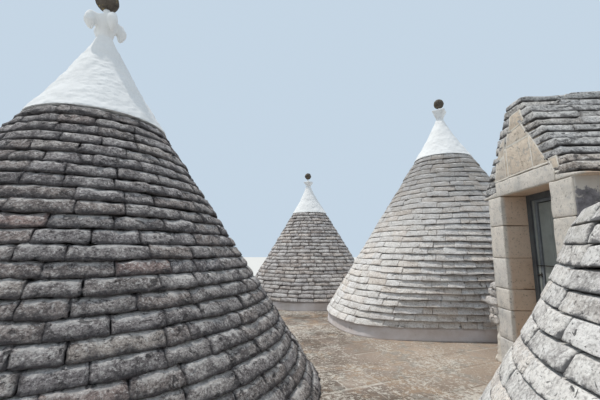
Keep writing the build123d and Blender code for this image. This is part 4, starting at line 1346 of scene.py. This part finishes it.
def flagstones():
    # rows of worn flags at an angle across the terrace, left out under the cones
    floats = ["Row Width", "Row Length", "Stone Length", "Spread", "Joint", "Edge", "Thickness", "Level",
              "Proud", "Turn", "Half Width", "Half Length", "Lump", *(name + " Radius" for name in coneLooks)]
    others = {"Rows": "Int", "Seed": "Int", "Blank": "Object", "Stone": "Material",
              **dict.fromkeys(coneLooks, "Vector")}
    graph, given, size = newTree("flagstones", floats, others)
    points, turn, row = rowPoints(graph, size, (size["Row Length"] / size["Stone Length"]).via("ROUND"))

    def jointAt(number):
        wander = graph.chance(-0.5, 0.5, row * blocksPerRow + number, size["Seed"]) * size["Spread"] * 2
        shift = graph.chance(0.0, 1.0, row, size["Seed"] + 1)
        return (number + wander + shift) * size["Stone Length"] - size["Row Length"] / 2

    across = (row - size["Rows"] / 2) * size["Row Width"]
    along = (jointAt(turn) + jointAt(turn + 1)) / 2
    points = graph.store(points, {
        "from": jointAt(turn), "to": jointAt(turn + 1), "across": across,
        **drawn(graph, size, row * blocksPerRow + turn, lift=(0.0, 2))})

    x, y, _ = graph.split(graph.turned(along, across + size["Row Width"] / 2, 0.0, size["Turn"]))
    out = abs(x).via("GREATER_THAN", size["Half Width"] + flagOverEdge)
    out = out.via("MAXIMUM", abs(y).via("GREATER_THAN", size["Half Length"] + flagOverEdge))
    for name in coneLooks:
        coneX, coneY, _ = graph.split(size[name].socket)
        away = ((x - coneX) ** 2 + (y - coneY) ** 2).via("SQRT")
        out = out.via("MAXIMUM", away.via("LESS_THAN", size[name + " Radius"]))
    points = graph.get("GeometryNodeDeleteGeometry", {"Geometry": points, "Selection": out})
    flags = laidOut(graph, points, size)

    u, top, v = graph.split(graph.get("GeometryNodeInputPosition"))
    long = graph.stored("to") - graph.stored("from") - size["Joint"]
    wide = size["Row Width"] - size["Joint"]
    nearEdge = ((1 - abs(u)) * long / 2).via("MINIMUM", (1 - abs(v)) * wide / 2)
    worn = (1 - nearEdge / size["Edge"]).via("MAXIMUM", 0.0)
    level = size["Level"] + size["Proud"] * (0.6 + graph.stored("lift") * 0.4) - worn * worn * size["Proud"]
    level = level - (1 - top) / 2 * size["Thickness"]
    place = graph.turned(graph.stored("from") + size["Joint"] / 2 + (u + 1) / 2 * long,
                         graph.stored("across") + size["Joint"] / 2 + (v + 1) / 2 * wide, level, size["Turn"])
    x, y, z = graph.split(place)
    x = x.via("MINIMUM", size["Half Width"]).via("MAXIMUM", -size["Half Width"])
    y = y.via("MINIMUM", size["Half Length"]).via("MAXIMUM", -size["Half Length"])
    flags = graph.get("GeometryNodeSetPosition", {"Geometry": flags, "Position": graph.join(x, y, z)})
    return closeTree(graph, given, lumpy(graph, flags, size["Lump"], 5.0), size)


flagOverEdge = 0.25


def terraceFlags(material):
    look = pavingLook
    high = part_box("terrace_slab")[1]
    reach = math.hypot(high[0], high[1]) * 2
    values = {**look, "rows": round(reach / look["rowWidth"]), "rowLength": reach, "level": terraceLevel,
              "turn": math.radians(look["turn"]), "halfWidth": high[0] - look["inset"],
              "halfLength": high[1] - look["inset"], "blank": wornBlank, "stone": material}
    for name, cone in coneLooks.items():
        place = conePlace(name)
        values[name] = (place["x"], place["y"], 0.0)
        values[name + "Radius"] = cone.get("flatSide", cone["footRadius"]) - look["underCone"]
    piece = grown(newPiece("terrace_flags", bpy.data.meshes.new("terraceFlags")), flagstones(), values)
    settle(piece, "paving")


copingLook = {
    "rows": 1, "run": 0, "rise": 0, "blockLength": 0.72, "spread": 0.3, "joint": 0.008, "bedJoint": 0.012,
    "edge": 0.03, "lean": 0.0, "setBack": 0.006, "lump": 0.02, "seed": 91, "width": 0.32,
}


def terraceCoping(material):
    low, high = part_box("terrace_coping")
    width, height = copingLook["width"] + high[0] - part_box("terrace_slab")[1][0], high[2] - low[2]
    wide, long = high[0] - low[0], high[1] - low[1] - 2 * width
    runs = [((low[0], low[1]), 0, wide), ((high[0], low[1] + width), 90, long),
            ((high[0], high[1]), 180, wide), ((low[0], high[1] - width), 270, long)]
    edit = bmesh.new()
    for number, ((x, y), turn, length) in enumerate(runs):
        look = {**copingLook, "length": length, "depth": width, "height": height}
        look["seed"] += number
        run = rowOfBlocks("coping_run", bpy.data.meshes.new("run"), (x, y, low[2]), turn, look, material)
        edit.from_mesh(run.data)
        bpy.data.objects.remove(run)
    mesh = meshFrom(edit, "terraceCoping")
    settle(newPiece("terrace_coping_stones", mesh, material), "paving", "terrace_coping")


# Ground storey

wallLook = {"cell": 0.14, "dent": 0.022, "scale": 2.2, "tolerance": 0.001, "sharpAngle": 35, "shortest": 1.0}


def rippledWall(node, look, material):
    # a CAD wall cut into a grid, its outer face gently uneven
    mesh = mergedCopy(node)
    edit = bmesh.new()
    edit.from_mesh(mesh)
    corners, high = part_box(node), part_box("terrace_slab")[1]
    for axis in range(3):
        if corners[1][axis] - corners[0][axis] < look["shortest"]:
            continue
        count = round((corners[1][axis] - corners[0][axis]) / look["cell"])
        normal = [0, 0, 0]
        normal[axis] = 1
        for cut in range(1, count):
            point = [0, 0, 0]
            point[axis] = corners[0][axis] + (corners[1][axis] - corners[0][axis]) * cut / count
            geometry = edit.verts[:] + edit.edges[:] + edit.faces[:]
            bmesh.ops.bisect_plane(edit, geom=geometry, dist=0.0005, plane_co=point, plane_no=normal)
    for vertex in edit.verts:
        swell = 0.5 + 0.5 * noise.fractal(vertex.co * look["scale"], 0.8, 2.1, 4)
        for axis in (0, 1):
            if abs(abs(vertex.co[axis]) - high[axis]) < look["tolerance"]:
                vertex.co[axis] -= math.copysign(min(1, max(0, swell)) * look["dent"], vertex.co[axis])
    edit.to_mesh(mesh)
    edit.free()
    mesh.shade_smooth()
    mesh.set_sharp_from_angle(angle=math.radians(look["sharpAngle"]))
    settle(newPiece(node + "_limewash", mesh, material), "limewash", node)


def islands(node):
    # the boxes of a node's separate solids
    edit = bmesh.new()
    edit.from_mesh(mergedCopy(node))
    left, boxes = set(edit.verts), []
    while left:
        queue, seen = [left.pop()], []
        while queue:
            vertex = queue.pop()
            seen.append(vertex.co.copy())
            for edge in vertex.link_edges:
                other = edge.other_vert(vertex)
                if other in left:
                    left.remove(other)
                    queue.append(other)
        boxes.append(tuple(tuple(pick(co[axis] for co in seen) for axis in range(3)) for pick in (min, max)))
    edit.free()
    return sorted(boxes)


surroundLook = {"edge": 0.012, "cell": 0.11, "dent": 0.005, "dentScale": 7.0, "seed": 17}
surroundNodes = ["entrance_jambs", "entrance_lintel", "entrance_threshold", "window_jambs", "window_lintels",
                 "window_sills"]


def surrounds(material):
    # the dressed stones round the doors and windows, where the CAD has them
    for node in surroundNodes:
        places = [boxPlace(*box) for box in islands(node)]
        lay(node + "_stones", places, surroundLook, material, "ashlar", node)


barLook = {"upright": 4, "crossing": 2, "radius": 0.009, "sides": 8, "setOut": 0.15, "bearing": 0.05}


def windowBars(material):
    # an iron grille let into the stone in front of each pane
    edit = bmesh.new()
    for low, high in islands("window_panes"):
        across = 0 if high[0] - low[0] > high[1] - low[1] else 1
        outward = 1 - across
        side = math.copysign(1, low[outward])
        depth = (low[outward] + high[outward]) / 2 + side * barLook["setOut"]
        reach = barLook["bearing"]
        bars = []
        span = high[across] - low[across] + 2 * reach
        for number in range(1, barLook["upright"] + 1):
            along = low[across] - reach + span * number / (barLook["upright"] + 1)
            bars.append(((along, low[2] - reach * 2), (along, high[2] + reach * 2), 0.0))
        for number in range(1, barLook["crossing"] + 1):
            level = low[2] + (high[2] - low[2]) * number / (barLook["crossing"] + 1)
            start, end = low[across] - reach * 2, high[across] + reach * 2
            bars.append(((start, level), (end, level), side * barLook["radius"]))
        for start, end, shift in bars:
            ends = []
            for along, level in (start, end):
                place = [0, 0, level]
                place[across], place[outward] = along, depth + shift
                ends.append(Vector(place))
            bar(edit, *ends, barLook["radius"], barLook["sides"])
    mesh = meshFrom(edit, "windowBars", True)
    mesh.shade_smooth()
    mesh.set_sharp_from_angle(angle=math.radians(50))
    settle(newPiece("window_bars", mesh, material), "iron")


def bar(edit, start, end, radius, sides):
    # a closed round bar between two points
    along = (end - start).normalized()
    first = along.orthogonal().normalized()
    second = along.cross(first)
    loops = []
    for centre in (start, end):
        turns = (math.tau * side / sides for side in range(sides))
        around = [(first * math.cos(turn) + second * math.sin(turn)) * radius for turn in turns]
        loops.append([edit.verts.new(centre + way) for way in around])
    for side in range(sides):
        edit.faces.new((loops[0][side - 1], loops[0][side], loops[1][side], loops[1][side - 1]))
    edit.faces.new(loops[0][::-1])
    edit.faces.new(loops[1])


# Finishes of the stair head, the paving and the ground storey

dressedLooks = {
    "doorStone": {
        "clean": [(0.0, (0.66, 0.50, 0.38)), (0.5, (0.70, 0.55, 0.43)), (1.0, (0.74, 0.60, 0.48))],
        "stain": (0.88, 0.84, 0.80),
        "weathered": [(0.28, (0.52, 0.515, 0.50)), (0.45, (0.68, 0.655, 0.61)), (0.62, (0.79, 0.755, 0.70))],
        "tint": [(0.0, (0.95, 0.96, 0.98)), (0.5, (1.0, 0.97, 0.94)), (1.0, (1.04, 1.0, 0.95))],
        "lichen": 0.5, "lichenColour": (0.40, 0.40, 0.40), "pitColour": (0.20, 0.17, 0.14), "relief": 0.55,
        "frontPlane": 2.52,
    },
    "gableStone": {
        "weathered": [(0.28, (0.46, 0.42, 0.37)), (0.45, (0.68, 0.60, 0.51)), (0.62, (0.80, 0.72, 0.62))],
        "tint": [(0.0, (0.93, 0.95, 0.97)), (0.5, (1.0, 0.96, 0.91)), (1.0, (1.06, 0.97, 0.87))],
        "lichen": 0.7, "lichenColour": (0.42, 0.41, 0.39), "pitColour": (0.20, 0.16, 0.12), "relief": 0.9,
    },
    "surroundStone": {
        "weathered": [(0.28, (0.44, 0.40, 0.35)), (0.45, (0.56, 0.51, 0.44)), (0.62, (0.64, 0.59, 0.52))],
        "tint": [(0.0, (0.93, 0.95, 0.97)), (0.5, (1.0, 0.97, 0.93)), (1.0, (1.04, 0.97, 0.89))],
        "lichen": 0.4, "lichenColour": (0.38, 0.37, 0.35), "pitColour": (0.20, 0.16, 0.12), "relief": 0.6,
    },
}
plasterColours = {
    "plaster": [(0.3, (0.50, 0.46, 0.42)), (0.5, (0.60, 0.56, 0.51)), (0.68, (0.67, 0.64, 0.59))],
    "lichen": [(0.35, (0.10, 0.095, 0.105)), (0.6, (0.24, 0.23, 0.25))],
    "lichenTop": 5.66, "lichenFade": 0.14, "lichenStrength": 0.95, "relief": 0.6,
}
pavingColours = {
    "broadScale": 0.9, "flagSpread": 0.10,
    "tones": [(0.32, (0.08, 0.062, 0.048)), (0.45, (0.155, 0.122, 0.098)), (0.56, (0.265, 0.212, 0.176)),
              (0.68, (0.44, 0.37, 0.31))],
    "ochre": (0.35, 0.25, 0.17), "grey": (0.29, 0.275, 0.245), "speck": (0.62, 0.58, 0.515),
    "speckStrength": 0.8,
    "worn": (0.52, 0.42, 0.335), "wornPlace": (1.9, -0.3, 3.4), "wornReach": (0.3, 2.1),
    "dark": (0.11, 0.085, 0.065), "relief": 0.6,
}
stoneLooks["roof"] = {
    "tones": [(0.0, (0.50, 0.495, 0.485)), (0.5, (0.62, 0.61, 0.595)), (1.0, (0.74, 0.725, 0.70))],
    "tints": [(0.0, (0.98, 0.99, 1.02)), (0.5, (1, 1, 1)), (0.9, (1.03, 0.98, 0.93)),
              (1.0, (1.04, 0.94, 0.86))],
    "bedding": 1.8, "cloudScale": 7.0, "cloud": (0.50, 0.495, 0.50),
    "lichenScale": 18.0, "lichenCover": 0.47, "lichenStrength": 0.7, "lichenColour": (0.88, 0.865, 0.84),
    "grainScale": 50, "grainStrength": 0.9, "grainColour": (0.4, 0.39, 0.39),
    "speckStrength": 0.6, "speckColour": (0.90, 0.89, 0.87),
    "scoopScale": 10.0, "scoopLevel": 0.41, "scoopDarkness": 0.8, "pitColour": (0.08, 0.078, 0.08),
    "dirt": 0.85, "dirtRise": 0.4, "dirtColour": (0.07, 0.066, 0.065), "breakScale": 11.0, "relief": 1.0,
    "depth": 0.045,
    "rim": 0.35,
}
stoneLooks["toothing"] = {
    **stoneLooks["roof"], "tones": [(0.0, (0.50, 0.44, 0.39)), (1.0, (0.70, 0.63, 0.57))],
}


def plainStone(name, colours, scale, relief):
    material, graph, shader, where = newMaterial(name, 0.88)
    colour = ramp(graph, graph.noise(where, scale, 7, 0.62), colours)
    coat(graph, shader, colour, graph.noise(where, 30, 8, 0.65), relief, 0.02)
    return material


doorStone, gableStone, surroundStone = (dressedStone(name, look) for name, look in dressedLooks.items())
paleMortar = limewash("paleMortar", washLooks["mortar"])
plaster = stainedPlaster("stainedPlaster", plasterColours)
paint = plainStone("paintedTimber", [(0.3, (0.13, 0.145, 0.16)), (0.65, (0.20, 0.22, 0.235))], 8.0, 0.15)
palePaint = plainStone("palePaint", [(0.3, (0.22, 0.24, 0.225)), (0.65, (0.30, 0.32, 0.30))], 5.0, 0.15)
iron = plainStone("iron", [(0.3, (0.02, 0.02, 0.02)), (0.65, (0.05, 0.045, 0.04))], 30.0, 0.3)
stairHeadStones(doorStone, gableStone, paleMortar)
roofMortar = plainStone("roofMortar", [(0.3, (0.16, 0.13, 0.10)), (0.65, (0.36, 0.31, 0.25))], 8.0, 0.6)
stairHeadRoof(roughStone("roofSlabs", stoneLooks["roof"]), roofMortar)
sidePlaster(plaster)
passageStones(roughStone("toothingStone", stoneLooks["toothing"]), footWash, paleMortar)
terraceDoor(paint, palePaint, iron)
print("stair head ready")
pavingStone = wornPaving("pavingStone", pavingColours)
terraceFlags(pavingStone)
terraceCoping(roughStone("copingStone", stoneLooks["right_cone"]))
print("paving ready")
wallWash = limewash("wallWash", washLooks["wall"])
for node in ("front_wall", "back_wall", "left_wall", "right_wall"):
    rippledWall(node, wallLook, wallWash)
surrounds(surroundStone)
print("ground storey ready")

jointTones = [(0.38, (0.20, 0.16, 0.13)), (0.48, (0.40, 0.35, 0.30)), (0.56, (0.60, 0.55, 0.49)),
              (0.66, (0.72, 0.68, 0.62))]
nodeFinish = {
    "limewash": wallWash,
    "ashlar": surroundStone,
    "paving": wornPaving("jointMortar", {
        **pavingColours, "tones": jointTones, "speckStrength": 0.9, "edge": (0.80, 0.795, 0.775),
        "edgeFoot": (1.9, 2.0), "edgeTop": (3.375, 3.39)}),
    "grey_stone": plainStone("greyStone", [(0.3, (0.2, 0.19, 0.18)), (0.65, (0.36, 0.35, 0.33))], 5.0, 0.6),
    "painted_timber": plainStone(
        "framePaint", [(0.3, (0.08, 0.085, 0.09)), (0.65, (0.12, 0.13, 0.135))], 8.0, 0.2),
    "iron": iron,
    "pane": plainStone("pane", [(0.3, (0.05, 0.06, 0.065)), (0.65, (0.06, 0.07, 0.075))], 4.0, 0.0),
    "dark_stone": fill, "pale_stone": fill, "ball_stone": ballMaterial,
}
windowBars(nodeFinish["iron"])
plasteredNodes = ("stair_head_side_walls", "stair_head_rear_gable")
slotOf = {part["node"]: part["material_slot"] for part in frame["record"]["subparts"]}
for node, shape in frame["nodes"].items():
    shape.data.materials.clear()
    shape.data.materials.append(plaster if node in plasteredNodes else nodeFinish[slotOf[node]])


# Stage

def stage():
    scene = bpy.context.scene
    camera = bpy.data.objects.new("camera", bpy.data.cameras.new("camera"))
    camera.location = studio["eye"]
    camera.rotation_euler = (math.radians(studio["pitch"]), 0, math.radians(studio["turn"]))
    camera.data.lens = studio["lens"]
    camera.data.sensor_width = studio["sensor"]
    scene.collection.objects.link(camera)
    scene.camera = camera
    sun = bpy.data.objects.new("sun", bpy.data.lights.new("sun", "SUN"))
    sun.data.energy = studio["sunStrength"]
    sun.data.color = studio["sunColour"]
    sun.data.angle = math.radians(studio["sunSoftness"])
    sun.rotation_mode = "QUATERNION"
    sun.rotation_quaternion = Vector(studio["sunFrom"]).to_track_quat("Z", "Y")
    scene.collection.objects.link(sun)

    world = bpy.data.worlds.new("studio")
    scene.world = world
    world.use_nodes = True
    world.node_tree.nodes.clear()
    graph = Graph(world.node_tree)
    path = graph.add("ShaderNodeLightPath")
    seen = Signal(graph, path.outputs["Is Camera Ray"])
    seen = seen.via("MAXIMUM", Signal(graph, path.outputs["Is Glossy Ray"]))
    seen = seen.via("MAXIMUM", Signal(graph, path.outputs["Is Transmission Ray"]))
    light = graph.add("ShaderNodeBackground", {0: (*studio["skyColour"], 1), 1: studio["skyStrength"]})
    shown = graph.add("ShaderNodeBackground", {0: (*studio["backdrop"], 1), 1: 1.0})
    mix = graph.add("ShaderNodeMixShader", {0: seen, 1: light.outputs[0], 2: shown.outputs[0]})
    out = graph.add("ShaderNodeOutputWorld")
    world.node_tree.links.new(mix.outputs[0], out.inputs[0])

    half = studio["floorSize"] / 2
    mesh = bpy.data.meshes.new("floor")
    corners = [(-half, -half, 0), (half, -half, 0), (half, half, 0), (-half, half, 0)]
    mesh.from_pydata(corners, [], [(0, 1, 2, 3)])
    material, graph, shader, _ = newMaterial("floor", 0.9)
    shader.inputs["Base Color"].default_value = (*studio["floorColour"], 1)
    floor = newPiece("floor", mesh, material)
    floor.location.z = -studio["floorDrop"]
    scene.view_settings.view_transform = "Standard"


stage()
print("scene ready")
